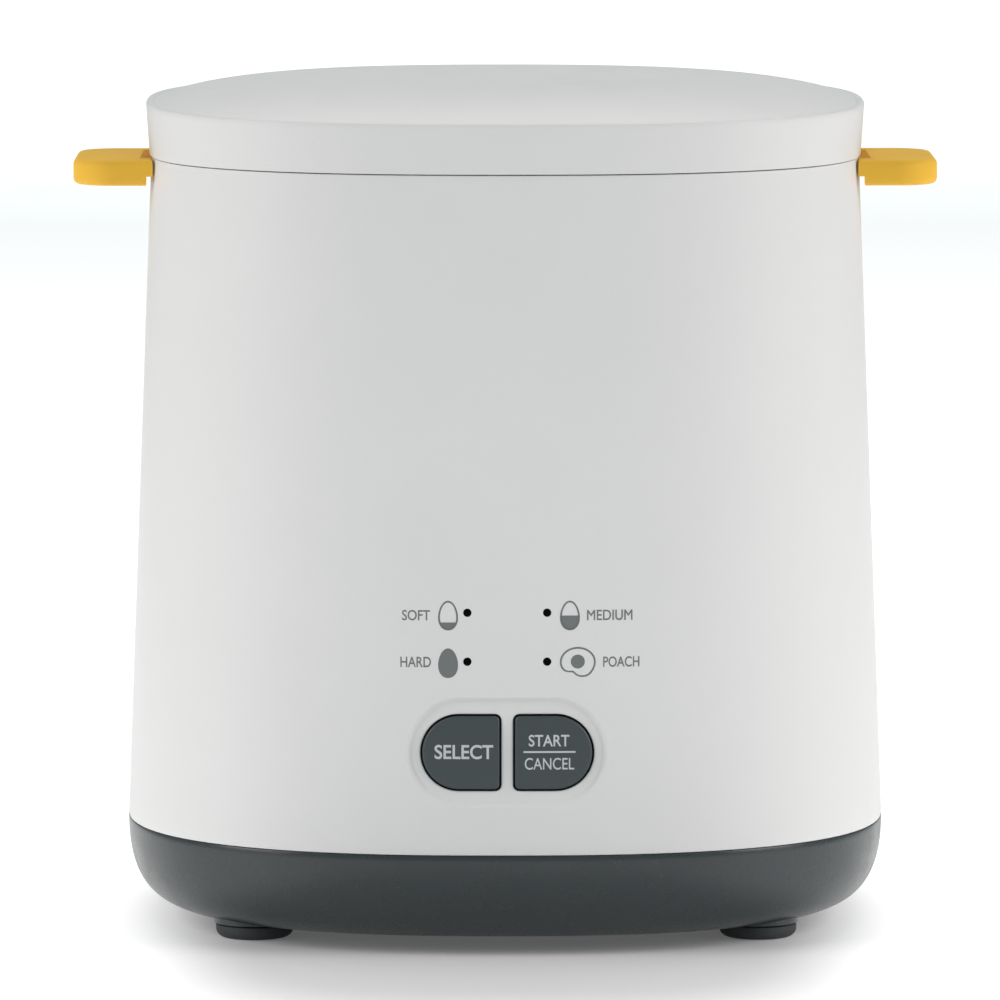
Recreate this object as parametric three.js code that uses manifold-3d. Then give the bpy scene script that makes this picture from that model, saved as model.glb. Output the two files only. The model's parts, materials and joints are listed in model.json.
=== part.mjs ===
// Egg cooker: a free-standing steam cooker with a lift-out egg rack and a poaching tray under its lid.
// Units are millimetres. +X is to the right, +Y is to the rear and +Z is up. The origin is on the
// surface that the cooker stands on, at the middle of its oval plan, and the controls face -Y.

import * as THREE from 'three';
import { mergeVertices } from 'three/addons/utils/BufferGeometryUtils.js';
import Module from 'manifold-3d';

const wasm = await Module();
wasm.setup();

// ---- Driving dimensions ----

const GAP = 0.3; // between pieces that rest on each other
const SQUARENESS = 2.5; // exponent of the oval plan, a superellipse
const DEPTH_RATIO = 82 / 89; // half-depth over half-width of the plan

const BASE = { halfWidth: 89, underside: 3.4, top: 23.7, floor: 3, lipTop: 28, lipOuter: 86, lipInner: 84 };
const SHELL = { bottom: 24, top: 179.2, bottomHalfWidth: 89, topHalfWidth: 83.1, wall: 2.6 };
const LEDGE = { top: 170.7, thickness: 2, slope: 3.4, halfWidth: 77.5 };
const LID = {
  bottom: 179.6,
  rim: 192.04,
  bottomHalfWidth: 83.5,
  rimHalfWidth: 84.3,
  wall: 2.4,
  lean: 0.013,
};
const DOME = { halfWidth: 82.3, rise: 4.97, fullness: 5.4 };
const STUD = { x: 46, y: 40, radius: 3, tipHalfWidth: 62, sunk: 1.2 };
const STEAM = {
  xs: [-16, 0, 16],
  slotHalf: 5,
  slotBottom: 183.6,
  slotTop: 185.8,
  holeRadius: 2.2,
  holeY: 52,
};
const LID_PANEL = {
  bottom: 187,
  top: 188.6,
  halfWidth: 80.8,
  skirtOuter: 79,
  skirtInner: 77.4,
  skirtBottom: 175.5,
};
const LINER = {
  flangeBottom: 171,
  flangeTop: 172.6,
  flangeOuter: 80.4,
  topInner: 75.2,
  wall: 1.6,
  floorTop: 93.6,
};
const LINER_BOSS = { radius: 3.2, drop: 2.1, pilot: 1.4, cover: 0.8 };

const FOOT = { radius: 9, height: 3.1, stemRadius: 3, x: 58.5, y: 45 };
const BASE_SCREW = { x: 46, y: 52, seat: 9, tip: 30, headRadius: 3.5, headHeight: 2.6, shankRadius: 1.5 };
const POST = { top: 60, radius: 4.5, pilot: 1.8, pilotTop: 34, ribHalf: 1.1, ribReach: 20.2, ribBottom: 29 };
const BOSS = { top: 14, radius: 5.5, hole: 1.9, seatRadius: 4 };
const VENT = { count: 5, pitch: 9, halfWidth: 1.6, front: -38, rear: -12 };
const GLAND = {
  height: 14.4,
  seat: 80.1,
  outer: 81.9,
  inner: 71,
  bore: 3.5,
  tube: 5.7,
  flange: 7.4,
  pocket: 8.2,
  pad: 9,
};

const PANEL_HEIGHT = 47.6; // the middle of the button recess
const RECESS = { width: 44.7, height: 24.2, depth: 0.8 };
const BUTTON = { inner: 1.8, outer: 19.4, height: 16.75, corner: 1, clearance: 0.4, flange: 1.1 };
const STEM = { x: 10.5, radius: 2.2, tip: -12.2, flangeBack: -6, flangeFront: -4.6 };
const SWITCH = { half: 3, height: 3.4, bore: 1.9, boreDepth: 2.2, plunger: 1.6 };
const LED = { halfWidth: 1, halfHeight: 0.7, thickness: 1.2 };
const PIPE = { x: 9.1, rows: [32.1, 20.9], radius: 0.75, hole: 1, back: -15.1, front: -0.35 };
const PIPE_COLLAR = { radius: 1.5, back: -4.8, front: -3.2 };
const SMALL_SCREW = { pilot: 1.1, shank: 0.8, head: 2.5, headHeight: 1.6 };
const BOARD = {
  front: -17,
  thickness: 1.6,
  width: 70,
  bottom: -14,
  top: 36.4,
  screwX: 31,
  screwRows: [-11, 33],
};
const BOARD_POST = { radius: 3, root: -3.9, pilotTip: -7 };
const GUIDE = { front: -8.8, thickness: 1.4, width: 62, height: 12, screwX: 27, sleeve: 3.6 };
const GUIDE_POST = { radius: 2.8, root: -3, pilotTip: -4.4 };

const DISH = { bottom: 79, flangeBottom: 88.1, flangeTop: 89.6, flangeRadius: 66.5, opening: 54 };
const DISH_SCREW = { circle: 63, hole: 1.5, head: 3, headHeight: 2, shank: 1.1 };
const SEAL = { inner: 55, outer: 59, top: 91.7 };
const ELEMENT = { circle: 38, radius: 3.2, height: 74.9, gapAngle: Math.PI / 3, pinBottom: 62 };
const SHIELD = { floor: 66, flangeTop: 87.8, flange: 1.2, sheet: 1, pinHole: 5 };
const POWER_BOARD = {
  bottom: 12,
  thickness: 1.6,
  width: 84,
  depth: 46,
  y: 22,
  screwX: 38,
  hole: 1.4,
  post: 3.5,
};

const EGG_PITCH = 46; // between neighbouring eggs
const RACK = { plate: 99, thickness: 2.4, halfWidth: 67.5, seatRadius: 16.5, collar: 1.8, collarTop: 104 };
const ARM = { inner: 69, outer: 71.2, width: 24, neckWidth: 30, neckBottom: 175.1, top: 179 };
const GRIP = {
  root: 85,
  end: 101.1,
  width: 44,
  bottom: 173,
  corner: 9,
  inner: 83.75,
  reliefReach: 1.4,
  reliefHeight: 2.2,
};
const TRAY = { bottom: 172.9, thickness: 1.4, halfWidth: 77, notchX: 68.4 };
const CUP = { x: 33, y: 29, outer: 27.6, inner: 26.2, floor: 152.5, wall: 1.4 };

// ---- Colours and finishes ----

const FINISHES = {
  whitePlastic: { color: 0xd9dddc, roughness: 0.35, metalness: 0 },
  slatePlastic: { color: 0x4b5053, roughness: 0.45, metalness: 0 },
  yellowPlastic: { color: 0xf0b13c, roughness: 0.4, metalness: 0 },
  blackPlastic: { color: 0x202224, roughness: 0.5, metalness: 0 },
  rubber: { color: 0x2c2e30, roughness: 0.8, metalness: 0 },
  silicone: { color: 0xb9bfc0, roughness: 0.7, metalness: 0 },
  clearPlastic: { color: 0x1c1d1e, roughness: 0.2, metalness: 0 },
  linerPlastic: { color: 0xc9cccb, roughness: 0.5, metalness: 0 },
  steel: { color: 0xb8bbbd, roughness: 0.3, metalness: 1 },
  aluminium: { color: 0xc2c5c6, roughness: 0.45, metalness: 1 },
  circuitBoard: { color: 0x1f5a3a, roughness: 0.6, metalness: 0 },
  wireJacket: { color: 0xe4e2da, roughness: 0.6, metalness: 0 },
};

// ---- Shape helpers ----

const point = (x, y) => new THREE.Vector2(x, y);

// The half-width of the shell's outside at height z.
function shellHalfWidth(z) {
  const taper = (SHELL.bottomHalfWidth - SHELL.topHalfWidth) / (SHELL.top - SHELL.bottom);
  return SHELL.bottomHalfWidth - (z - SHELL.bottom) * taper;
}

// A Manifold solid from a closed three.js geometry, turned outwards and with no slivers of no area.
function solid(geometry) {
  const bare = geometry.index ? geometry.clone() : geometry;
  bare.deleteAttribute('normal');
  bare.deleteAttribute('uv');
  const merged = mergeVertices(bare, 1e-4);
  const positions = merged.attributes.position.array;
  const corners = [];
  let volume = 0;
  const a = new THREE.Vector3();
  const b = new THREE.Vector3();
  const c = new THREE.Vector3();
  for (let i = 0; i < merged.index.count; i += 3) {
    const [p, q, r] = [0, 1, 2].map((k) => merged.index.getX(i + k));
    if (p === q || q === r || r === p) continue;
    corners.push(p, q, r);
    a.fromArray(positions, 3 * p);
    b.fromArray(positions, 3 * q);
    c.fromArray(positions, 3 * r);
    volume += a.dot(b.cross(c));
  }
  if (volume < 0) corners.reverse();
  const mesh = new wasm.Mesh({
    numProp: 3,
    vertProperties: new Float32Array(positions),
    triVerts: new Uint32Array(corners),
  });
  return new wasm.Manifold(mesh);
}

function toGeometry(shape) {
  const mesh = shape.getMesh();
  const geometry = new THREE.BufferGeometry();
  geometry.setAttribute('position', new THREE.BufferAttribute(mesh.vertProperties, 3));
  geometry.setIndex(new THREE.BufferAttribute(mesh.triVerts, 1));
  geometry.computeVertexNormals();
  return geometry;
}

const union = (shapes) => shapes.reduce((whole, shape) => whole.add(shape));
const cut = (shape, cutters) => cutters.reduce((rest, cutter) => rest.subtract(cutter), shape);
const placed = (shape, matrix) => shape.transform(Array.from(matrix.elements));

// A round solid about +Z, from a profile of [radius, z] points.
function turned(profile, segments = 12) {
  const geometry = new THREE.LatheGeometry(profile.map(([r, z]) => point(r, z)), segments);
  return solid(geometry.rotateX(Math.PI / 2));
}

// The same, with its circles stretched to the oval plan. The profile's radii are half-widths.
function oval(profile, segments = 32) {
  const geometry = new THREE.LatheGeometry(profile.map(([r, z]) => point(r, z)), segments);
  geometry.rotateX(Math.PI / 2);
  const position = geometry.attributes.position;
  for (let i = 0; i < position.count; i += 1) {
    const angle = Math.atan2(position.getY(i), position.getX(i));
    const sum = Math.abs(Math.cos(angle)) ** SQUARENESS + Math.abs(Math.sin(angle)) ** SQUARENESS;
    const stretch = sum ** (-1 / SQUARENESS);
    position.setX(i, position.getX(i) * stretch);
    position.setY(i, position.getY(i) * stretch * DEPTH_RATIO);
  }
  return solid(geometry);
}

function rod(radius, bottom, top, x = 0, y = 0, segments = 8) {
  const geometry = new THREE.CylinderGeometry(radius, radius, top - bottom, segments);
  geometry.rotateX(Math.PI / 2);
  geometry.translate(x, y, (bottom + top) / 2);
  return solid(geometry);
}

// A rod that lies along Y, from y = near to y = far.
function rodAlongY(radius, near, far, z, segments = 14) {
  const geometry = new THREE.CylinderGeometry(radius, radius, far - near, segments);
  geometry.translate(0, (near + far) / 2, z);
  return solid(geometry);
}

function block([x0, y0, z0], [x1, y1, z1]) {
  const geometry = new THREE.BoxGeometry(x1 - x0, y1 - y0, z1 - z0);
  geometry.translate((x0 + x1) / 2, (y0 + y1) / 2, (z0 + z1) / 2);
  return solid(geometry);
}

function extruded(shape, bottom, top, curveSegments = 6) {
  const options = { depth: top - bottom, bevelEnabled: false, curveSegments };
  const geometry = new THREE.ExtrudeGeometry(shape, options);
  return solid(geometry.translate(0, 0, bottom));
}

// A section swept along a smooth curve through the points.
function swept(section, points, steps) {
  const extrudePath = new THREE.CatmullRomCurve3(points.map((p) => new THREE.Vector3(...p)));
  return solid(new THREE.ExtrudeGeometry(section, { steps, extrudePath, curveSegments: 8 }));
}

function circleSection(radius) {
  const shape = new THREE.Shape();
  shape.absarc(0, 0, radius, 0, 2 * Math.PI);
  return shape;
}

// The points of a cubic Bezier as [radius, z] pairs.
function bezier(p0, p1, p2, p3, steps) {
  const curve = new THREE.CubicBezierCurve(point(...p0), point(...p1), point(...p2), point(...p3));
  return curve.getPoints(steps).map((p) => [p.x, p.y]);
}

// A fastener with its head down, at x, y. Its head ends at headTop and its shank at tip.
function screwUp(x, y, headTop, tip, headRadius, headHeight, shankRadius) {
  const headBottom = headTop - headHeight;
  const profile = [
    [0, headBottom],
    [headRadius, headBottom],
    [headRadius, headTop],
    [shankRadius, headTop],
    [shankRadius, tip],
    [0, tip],
  ];
  return turned(profile, 8).translate([x, y, 0]);
}

function smallScrew(x, y, headTop, tip) {
  return screwUp(x, y, headTop, tip, SMALL_SCREW.head, SMALL_SCREW.headHeight, SMALL_SCREW.shank);
}

// ---- The scene graph ----

const cooker = new THREE.Group();
const corners = [[-1, -1], [1, -1], [-1, 1], [1, 1]];
const sides = [-1, 1];

// One shape at each of the four mirrored spots of (x, y).
const atCorners = (x, y, make) => corners.map(([sx, sy]) => make(sx * x, sy * y));

function addPart(name, shape, finish, parent = cooker) {
  const mesh = new THREE.Mesh(toGeometry(shape), new THREE.MeshStandardMaterial(FINISHES[finish]));
  mesh.name = name;
  parent.add(mesh);
  return mesh;
}

// ---- The control panel's own frame: x right, y up along the wall, z out of it ----

const wallLean = DEPTH_RATIO * (SHELL.bottomHalfWidth - SHELL.topHalfWidth);
const wallTilt = Math.atan(wallLean / (SHELL.top - SHELL.bottom));
const panelMatrix = new THREE.Matrix4().makeRotationX(Math.PI / 2 - wallTilt);
panelMatrix.setPosition(0, -DEPTH_RATIO * shellHalfWidth(PANEL_HEIGHT), PANEL_HEIGHT);
const panel = new THREE.Group();
panel.applyMatrix4(panelMatrix);
cooker.add(panel);

// The shell's outside as one full solid, moved in by an inset, in the panel's frame.
function bodyInPanel(inset) {
  const full = oval([
    [0, SHELL.bottom],
    [SHELL.bottomHalfWidth - inset, SHELL.bottom],
    [SHELL.topHalfWidth - inset, SHELL.top],
    [0, SHELL.top],
  ]);
  return placed(full, panelMatrix.clone().invert());
}

// A button's outline: a half-round outer side and a straight inner side with small corners.
function buttonShape(side, grow = 0) {
  const half = BUTTON.height / 2;
  const centre = BUTTON.outer - half;
  const inner = BUTTON.inner - grow;
  const edge = half + grow;
  const shape = new THREE.Shape();
  shape.moveTo(side * (inner + BUTTON.corner), -edge);
  shape.lineTo(side * centre, -edge);
  shape.absarc(side * centre, 0, edge, -Math.PI / 2, Math.PI / 2, side < 0);
  shape.lineTo(side * (inner + BUTTON.corner), edge);
  shape.quadraticCurveTo(side * inner, edge, side * inner, edge - BUTTON.corner);
  shape.lineTo(side * inner, -edge + BUTTON.corner);
  shape.quadraticCurveTo(side * inner, -edge, side * (inner + BUTTON.corner), -edge);
  return shape;
}

function recessShape() {
  const radius = RECESS.height / 2;
  const centre = RECESS.width / 2 - radius;
  const shape = new THREE.Shape();
  shape.absarc(centre, 0, radius, -Math.PI / 2, Math.PI / 2);
  shape.absarc(-centre, 0, radius, Math.PI / 2, (3 * Math.PI) / 2);
  return shape;
}

// ---- Outer covers ----

function bodyShell() {
  const innerAt = (z) => shellHalfWidth(z) - SHELL.wall;
  const ledgeFoot = LEDGE.top - LEDGE.thickness - LEDGE.slope;
  const wall = oval([
    [SHELL.bottomHalfWidth, SHELL.bottom],
    [SHELL.topHalfWidth, SHELL.top],
    [innerAt(SHELL.top), SHELL.top],
    [innerAt(LEDGE.top), LEDGE.top],
    [LEDGE.halfWidth, LEDGE.top],
    [LEDGE.halfWidth, LEDGE.top - LEDGE.thickness],
    [innerAt(ledgeFoot), ledgeFoot],
    [innerAt(SHELL.bottom), SHELL.bottom],
    [SHELL.bottomHalfWidth, SHELL.bottom],
  ]);

  const posts = atCorners(BASE_SCREW.x, BASE_SCREW.y, (x, y) => {
    const [near, far] = y > 0 ? [y, y + POST.ribReach] : [y - POST.ribReach, y];
    const rib = block([x - POST.ribHalf, near, POST.ribBottom], [x + POST.ribHalf, far, POST.top]);
    return rod(POST.radius, BOSS.top + GAP, POST.top, x, y).add(rib);
  });
  const pilots = atCorners(BASE_SCREW.x, BASE_SCREW.y, (x, y) => rod(POST.pilot, 0, POST.pilotTop, x, y));

  // The posts that stand in from the wall behind the controls, each as [post, pilot hole].
  const panelPost = (x, y, size, front) => {
    const post = rod(size.radius, front + GAP, size.root, x, y);
    return [post, rod(SMALL_SCREW.pilot, front - 1, size.pilotTip, x, y)];
  };
  const panelPosts = sides.flatMap((side) => [
    ...BOARD.screwRows.map((row) => panelPost(side * BOARD.screwX, row, BOARD_POST, BOARD.front)),
    panelPost(side * GUIDE.screwX, 0, GUIDE_POST, GUIDE.front),
  ]);
  const wallPosts = panelPosts.map(([post]) => placed(post, panelMatrix));

  const recess = extruded(recessShape(), -6, 3, 8).subtract(bodyInPanel(RECESS.depth));
  const apertures = sides.map((side) => extruded(buttonShape(side, BUTTON.clearance), -8, 3));
  const lightHoles = sides.flatMap((side) =>
    PIPE.rows.map((row) => rod(PIPE.hole, -8, 3, side * PIPE.x, row, 8)),
  );
  const panelPilots = panelPosts.map(([, pilot]) => pilot);
  const cutsInPanel = [...panelPilots, recess, ...apertures, ...lightHoles];
  const panelCuts = cutsInPanel.map((shape) => placed(shape, panelMatrix));

  const notchHalf = ARM.neckWidth / 2 + 2 * GAP;
  const notches = block([-120, -notchHalf, ARM.neckBottom - GAP], [120, notchHalf, SHELL.top + 5]);

  return cut(union([wall, ...posts, ...wallPosts]), [...pilots, ...panelCuts, notches]);
}

function baseHousing() {
  const inset = 16.15; // how far the flat of the underside lies inside the outline
  const outside = bezier(
    [BASE.halfWidth - inset, BASE.underside],
    [BASE.halfWidth - 4.2, BASE.underside],
    [BASE.halfWidth, 10.8],
    [BASE.halfWidth, BASE.top],
    5,
  );
  const floorTop = BASE.underside + BASE.floor;
  const inside = bezier([BASE.lipInner, 22], [BASE.lipInner, 12.5], [81.5, floorTop], [70.5, floorTop], 3);
  const tray = oval([
    [0, BASE.underside],
    ...outside,
    [BASE.lipOuter, BASE.top],
    [BASE.lipOuter, BASE.lipTop],
    [BASE.lipInner, BASE.lipTop],
    ...inside,
    [0, floorTop],
  ]);

  const padTop = 8;
  const padRadius = FOOT.radius + 0.4;
  const footPads = atCorners(FOOT.x, FOOT.y, (x, y) => rod(padRadius, BASE.underside, padTop, x, y, 12));
  const stemHoles = atCorners(FOOT.x, FOOT.y, (x, y) => rod(FOOT.stemRadius + GAP, 0, padTop + 1, x, y));
  const atScrews = (make) => atCorners(BASE_SCREW.x, BASE_SCREW.y, make);
  const bosses = atScrews((x, y) => rod(BOSS.radius, BASE.underside, BOSS.top, x, y));
  const screwSeats = atScrews((x, y) => rod(BOSS.seatRadius, 0, BASE_SCREW.seat, x, y));
  const screwHoles = atScrews((x, y) => rod(BOSS.hole, 0, BOSS.top + 1, x, y));

  const { screwX, y: screwY } = POWER_BOARD;
  const boardPostTop = POWER_BOARD.bottom - GAP;
  const boardPosts = sides.map((side) =>
    rod(POWER_BOARD.post, BASE.underside, boardPostTop, side * screwX, screwY),
  );
  const boardPilots = sides.map((side) =>
    rod(SMALL_SCREW.pilot, floorTop, boardPostTop + 1, side * screwX, screwY),
  );

  const glandPad = rodAlongY(GLAND.pad, GLAND.inner + 1, GLAND.seat - GAP, GLAND.height);
  const glandPocket = rodAlongY(GLAND.pocket, GLAND.seat - GAP, BASE.halfWidth, GLAND.height);
  const glandHole = rodAlongY(GLAND.tube + GAP, GLAND.inner - 1, BASE.halfWidth, GLAND.height);

  const vents = Array.from({ length: VENT.count }, (_, i) => {
    const x = (i - (VENT.count - 1) / 2) * VENT.pitch;
    return block([x - VENT.halfWidth, VENT.front, 0], [x + VENT.halfWidth, VENT.rear, floorTop + 1]);
  });

  const body = union([tray, ...footPads, ...bosses, ...boardPosts, glandPad]);
  const holes = [...stemHoles, ...screwSeats, ...screwHoles, ...boardPilots, glandPocket, glandHole];
  return cut(body, [...holes, ...vents]);
}

function domeHeight(halfWidth) {
  return LID.rim + DOME.rise * (1 - Math.min(1, halfWidth / DOME.halfWidth) ** DOME.fullness);
}

// The lid's rim stands higher at the rear than at the front. Its bottom edge is level.
function leaned(shape) {
  return shape.warp((vertex) => {
    const share = Math.min(1, (vertex[2] - LID.bottom) / (LID.rim - LID.bottom));
    vertex[2] += LID.lean * vertex[1] * share;
  });
}

function lidCover() {
  const spots = [0.95, 0.87, 0.74, 0.47, 0].map((share) => share * DOME.halfWidth);
  const top = spots.map((r) => [r, domeHeight(r)]);
  const under = spots.slice(1).reverse().map((r) => [r, domeHeight(r) - LID.wall]);
  const innerCorner = 1.6; // how far the inside corner lies under the rim
  const cover = oval([
    [LID.bottomHalfWidth, LID.bottom],
    [LID.rimHalfWidth, LID.rim - 0.8],
    [LID.rimHalfWidth - 0.6, LID.rim - 0.1],
    [DOME.halfWidth, LID.rim],
    ...top,
    ...under,
    [LID.rimHalfWidth - LID.wall, LID.rim - innerCorner],
    [LID.bottomHalfWidth - LID.wall, LID.bottom],
    [LID.bottomHalfWidth, LID.bottom],
  ]);
  const studTip = domeHeight(STUD.tipHalfWidth) - STUD.sunk;
  const studs = atCorners(STUD.x, STUD.y, (x, y) => rod(STUD.radius, LID_PANEL.top + GAP, studTip, x, y));
  const { slotHalf, slotBottom, slotTop } = STEAM;
  const slots = STEAM.xs.map((x) => block([x - slotHalf, 60, slotBottom], [x + slotHalf, 90, slotTop]));
  return cut(union([leaned(cover), ...studs]), slots);
}

function lidInnerPanel() {
  const plate = oval([
    [0, LID_PANEL.bottom],
    [LID_PANEL.skirtInner, LID_PANEL.bottom],
    [LID_PANEL.skirtInner, LID_PANEL.skirtBottom],
    [LID_PANEL.skirtOuter, LID_PANEL.skirtBottom],
    [LID_PANEL.skirtOuter, LID_PANEL.bottom],
    [LID_PANEL.halfWidth, LID_PANEL.bottom],
    [LID_PANEL.halfWidth, LID_PANEL.top],
    [0, LID_PANEL.top],
  ]);
  const clear = ARM.neckWidth / 2 + 1;
  const neckNotch = block([-120, -clear, 170], [120, clear, LID.bottom + 0.6]);
  const steamHoles = STEAM.xs.map((x) => rod(STEAM.holeRadius, 180, 195, x, STEAM.holeY));
  return cut(plate, [neckNotch, ...steamHoles]);
}

// ---- Controls ----

function button(side) {
  const cap = extruded(buttonShape(side), STEM.flangeBack, 3).intersect(bodyInPanel(0));
  const flange = extruded(buttonShape(side, BUTTON.flange), STEM.flangeBack, STEM.flangeFront, 4);
  const stem = rod(STEM.radius, STEM.tip, STEM.flangeBack + 0.2, side * STEM.x, 0);
  return union([cap, flange, stem]);
}

function buttonGuide() {
  const back = GUIDE.front - GUIDE.thickness;
  const [halfX, halfY] = [GUIDE.width / 2, GUIDE.height / 2];
  const plate = block([-halfX, -halfY, back], [halfX, halfY, GUIDE.front]);
  const sleeves = sides.map((side) => rod(GUIDE.sleeve, back, GUIDE.front + 1, side * STEM.x, 0));
  const bores = sides.map((side) => rod(STEM.radius + GAP, -20, 0, side * STEM.x, 0));
  const screwHoles = sides.map((side) => rod(SMALL_SCREW.pilot + 0.1, -20, 0, side * GUIDE.screwX, 0, 8));
  return cut(union([plate, ...sleeves]), [...bores, ...screwHoles]);
}

// The switch stands on the board with a bore in its face for the plunger.
function tactSwitch(side) {
  const back = BOARD.front + GAP;
  const front = back + SWITCH.height;
  const body = block([-SWITCH.half, -SWITCH.half, back], [SWITCH.half, SWITCH.half, front]);
  const bore = rod(SWITCH.bore, front - SWITCH.boreDepth, 0);
  return body.subtract(bore).translate([side * STEM.x, 0, 0]);
}

function switchPlunger(side) {
  const boreFloor = BOARD.front + GAP + SWITCH.height - SWITCH.boreDepth;
  return rod(SWITCH.plunger, boreFloor + 1.5, STEM.tip - GAP, side * STEM.x, 0);
}

function lightPipe(side, row) {
  const profile = [
    [0, PIPE.back],
    [PIPE.radius, PIPE.back],
    [PIPE.radius, PIPE_COLLAR.back],
    [PIPE_COLLAR.radius, PIPE_COLLAR.back],
    [PIPE_COLLAR.radius, PIPE_COLLAR.front],
    [PIPE.radius, PIPE_COLLAR.front],
    [PIPE.radius, PIPE.front],
    [0, PIPE.front],
  ];
  return turned(profile, 8).translate([side * PIPE.x, row, 0]);
}

function controlBoard() {
  const back = BOARD.front - BOARD.thickness;
  const board = block([-BOARD.width / 2, BOARD.bottom, back], [BOARD.width / 2, BOARD.top, BOARD.front]);
  const hole = (x, y) => rod(SMALL_SCREW.pilot + 0.2, -30, 0, x, y);
  const holes = sides.flatMap((side) => BOARD.screwRows.map((row) => hole(side * BOARD.screwX, row)));
  return cut(board, holes);
}

function addControls() {
  const names = { '-1': 'select', 1: 'start_cancel' };
  const programmes = { '-1': ['soft', 'hard'], 1: ['medium', 'poach'] };
  const boardBack = BOARD.front - BOARD.thickness;
  const guideBack = GUIDE.front - GUIDE.thickness;

  for (const side of sides) {
    const place = side < 0 ? 'left' : 'right';
    addPart(`${names[side]}_button`, button(side), 'slatePlastic', panel);
    addPart(`${names[side]}_switch`, tactSwitch(side), 'blackPlastic', panel);
    addPart(`${names[side]}_switch_plunger`, switchPlunger(side), 'blackPlastic', panel);

    const guideScrew = smallScrew(side * GUIDE.screwX, 0, guideBack - GAP, GUIDE.front + 3.8);
    addPart(`button_guide_screw_${place}`, guideScrew, 'steel', panel);

    PIPE.rows.forEach((row, i) => {
      const ledBack = BOARD.front + GAP;
      const ledFront = ledBack + LED.thickness;
      const led = block(
        [-LED.halfWidth, -LED.halfHeight, ledBack],
        [LED.halfWidth, LED.halfHeight, ledFront],
      );
      addPart(`${programmes[side][i]}_light_pipe`, lightPipe(side, row), 'clearPlastic', panel);
      addPart(`${programmes[side][i]}_led`, led.translate([side * PIPE.x, row, 0]), 'whitePlastic', panel);
    });

    BOARD.screwRows.forEach((row, i) => {
      const screw = smallScrew(side * BOARD.screwX, row, boardBack - GAP, BOARD.front + 8);
      addPart(`control_board_screw_${place}_${i ? 'top' : 'bottom'}`, screw, 'steel', panel);
    });
  }
  addPart('button_guide', buttonGuide(), 'blackPlastic', panel);
  addPart('control_board', controlBoard(), 'circuitBoard', panel);
}

// ---- Chamber and heating ----

const dishScrewOffset = DISH_SCREW.circle * Math.SQRT1_2;
const atDishScrews = (make) => atCorners(dishScrewOffset, dishScrewOffset, make);

function chamberLiner() {
  const floor = LINER.floorTop;
  const under = floor - LINER.wall;
  const pan = oval([
    [0, under],
    [68, under],
    [72.2, under + 2],
    [74.4, under + 6],
    [LINER.topInner + LINER.wall, LINER.flangeBottom],
    [LINER.flangeOuter, LINER.flangeBottom],
    [LINER.flangeOuter, LINER.flangeTop],
    [LINER.topInner, LINER.flangeTop],
    [72.8, floor + 5],
    [71, floor + 1.7],
    [67.4, floor],
    [0, floor],
  ]);
  const bossFoot = under - LINER_BOSS.drop;
  const bosses = atDishScrews((x, y) => rod(LINER_BOSS.radius, bossFoot, floor, x, y));
  const pilots = atDishScrews((x, y) => rod(LINER_BOSS.pilot, bossFoot - 1, floor - LINER_BOSS.cover, x, y));
  return cut(union([pan, ...bosses]), [rod(DISH.opening, 80, 100, 0, 0, 24), ...pilots]);
}

function plateGasket() {
  const bottom = DISH.flangeTop + GAP;
  const { inner, outer, top } = SEAL;
  return turned([[inner, bottom], [outer, bottom], [outer, top], [inner, top], [inner, bottom]], 24);
}

// The water dish: a shallow pan that hangs from a flange under the liner's floor.
function heatingPlate() {
  const { bottom, flangeBottom, flangeTop, flangeRadius } = DISH;
  const sheet = flangeTop - flangeBottom;
  const dish = turned([
    [0, bottom],
    [46, bottom],
    [52, bottom + 2],
    [54.6, bottom + 5.6],
    [54.8, flangeBottom],
    [flangeRadius, flangeBottom],
    [flangeRadius, flangeTop],
    [53.2, flangeTop],
    [52.9, bottom + 6],
    [50.8, bottom + 3.2],
    [45.4, bottom + sheet],
    [0, bottom + sheet],
  ], 24);
  return cut(dish, atDishScrews((x, y) => rod(DISH_SCREW.hole, bottom, flangeTop + 1, x, y)));
}

// Where the element's end turns down, a little inside and behind its circle.
function pinSpot(side) {
  const half = ELEMENT.gapAngle / 2;
  return [side * ELEMENT.circle * Math.sin(half) * 0.82, ELEMENT.circle * Math.cos(half) * 1.06];
}

function heatingElement() {
  const points = [];
  const arcSteps = 14;
  const start = Math.PI / 2 + ELEMENT.gapAngle / 2;
  const sweep = 2 * Math.PI - ELEMENT.gapAngle;
  for (let i = 0; i <= arcSteps; i += 1) {
    const angle = start + (sweep * i) / arcSteps;
    points.push([ELEMENT.circle * Math.cos(angle), ELEMENT.circle * Math.sin(angle), ELEMENT.height]);
  }
  const pin = (side) => {
    const [x, y] = pinSpot(side);
    return [[x, y, ELEMENT.height - 3.5], [x, y, ELEMENT.pinBottom]];
  };
  const route = [...pin(-1).reverse(), ...points, ...pin(1)];
  return swept(circleSection(ELEMENT.radius), route, 30);
}

function thermostat() {
  const body = turned([[0, 72.6], [8, 72.6], [9, 73.4], [9, 77.2], [7, 78.7], [0, 78.7]], 14);
  const tabs = sides.map((side) => block([side * 11 - 3.5, -3, 74], [side * 11 + 3.5, 3, 74.9]));
  return union([body, ...tabs]);
}

function thermalFuse() {
  const capsule = new THREE.CylinderGeometry(2.1, 2.1, 13, 12).rotateZ(Math.PI / 2);
  const leads = new THREE.CylinderGeometry(0.7, 0.7, 24, 8).rotateZ(Math.PI / 2);
  return solid(capsule).add(solid(leads)).translate([0, 21, 76.4]);
}

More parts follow.
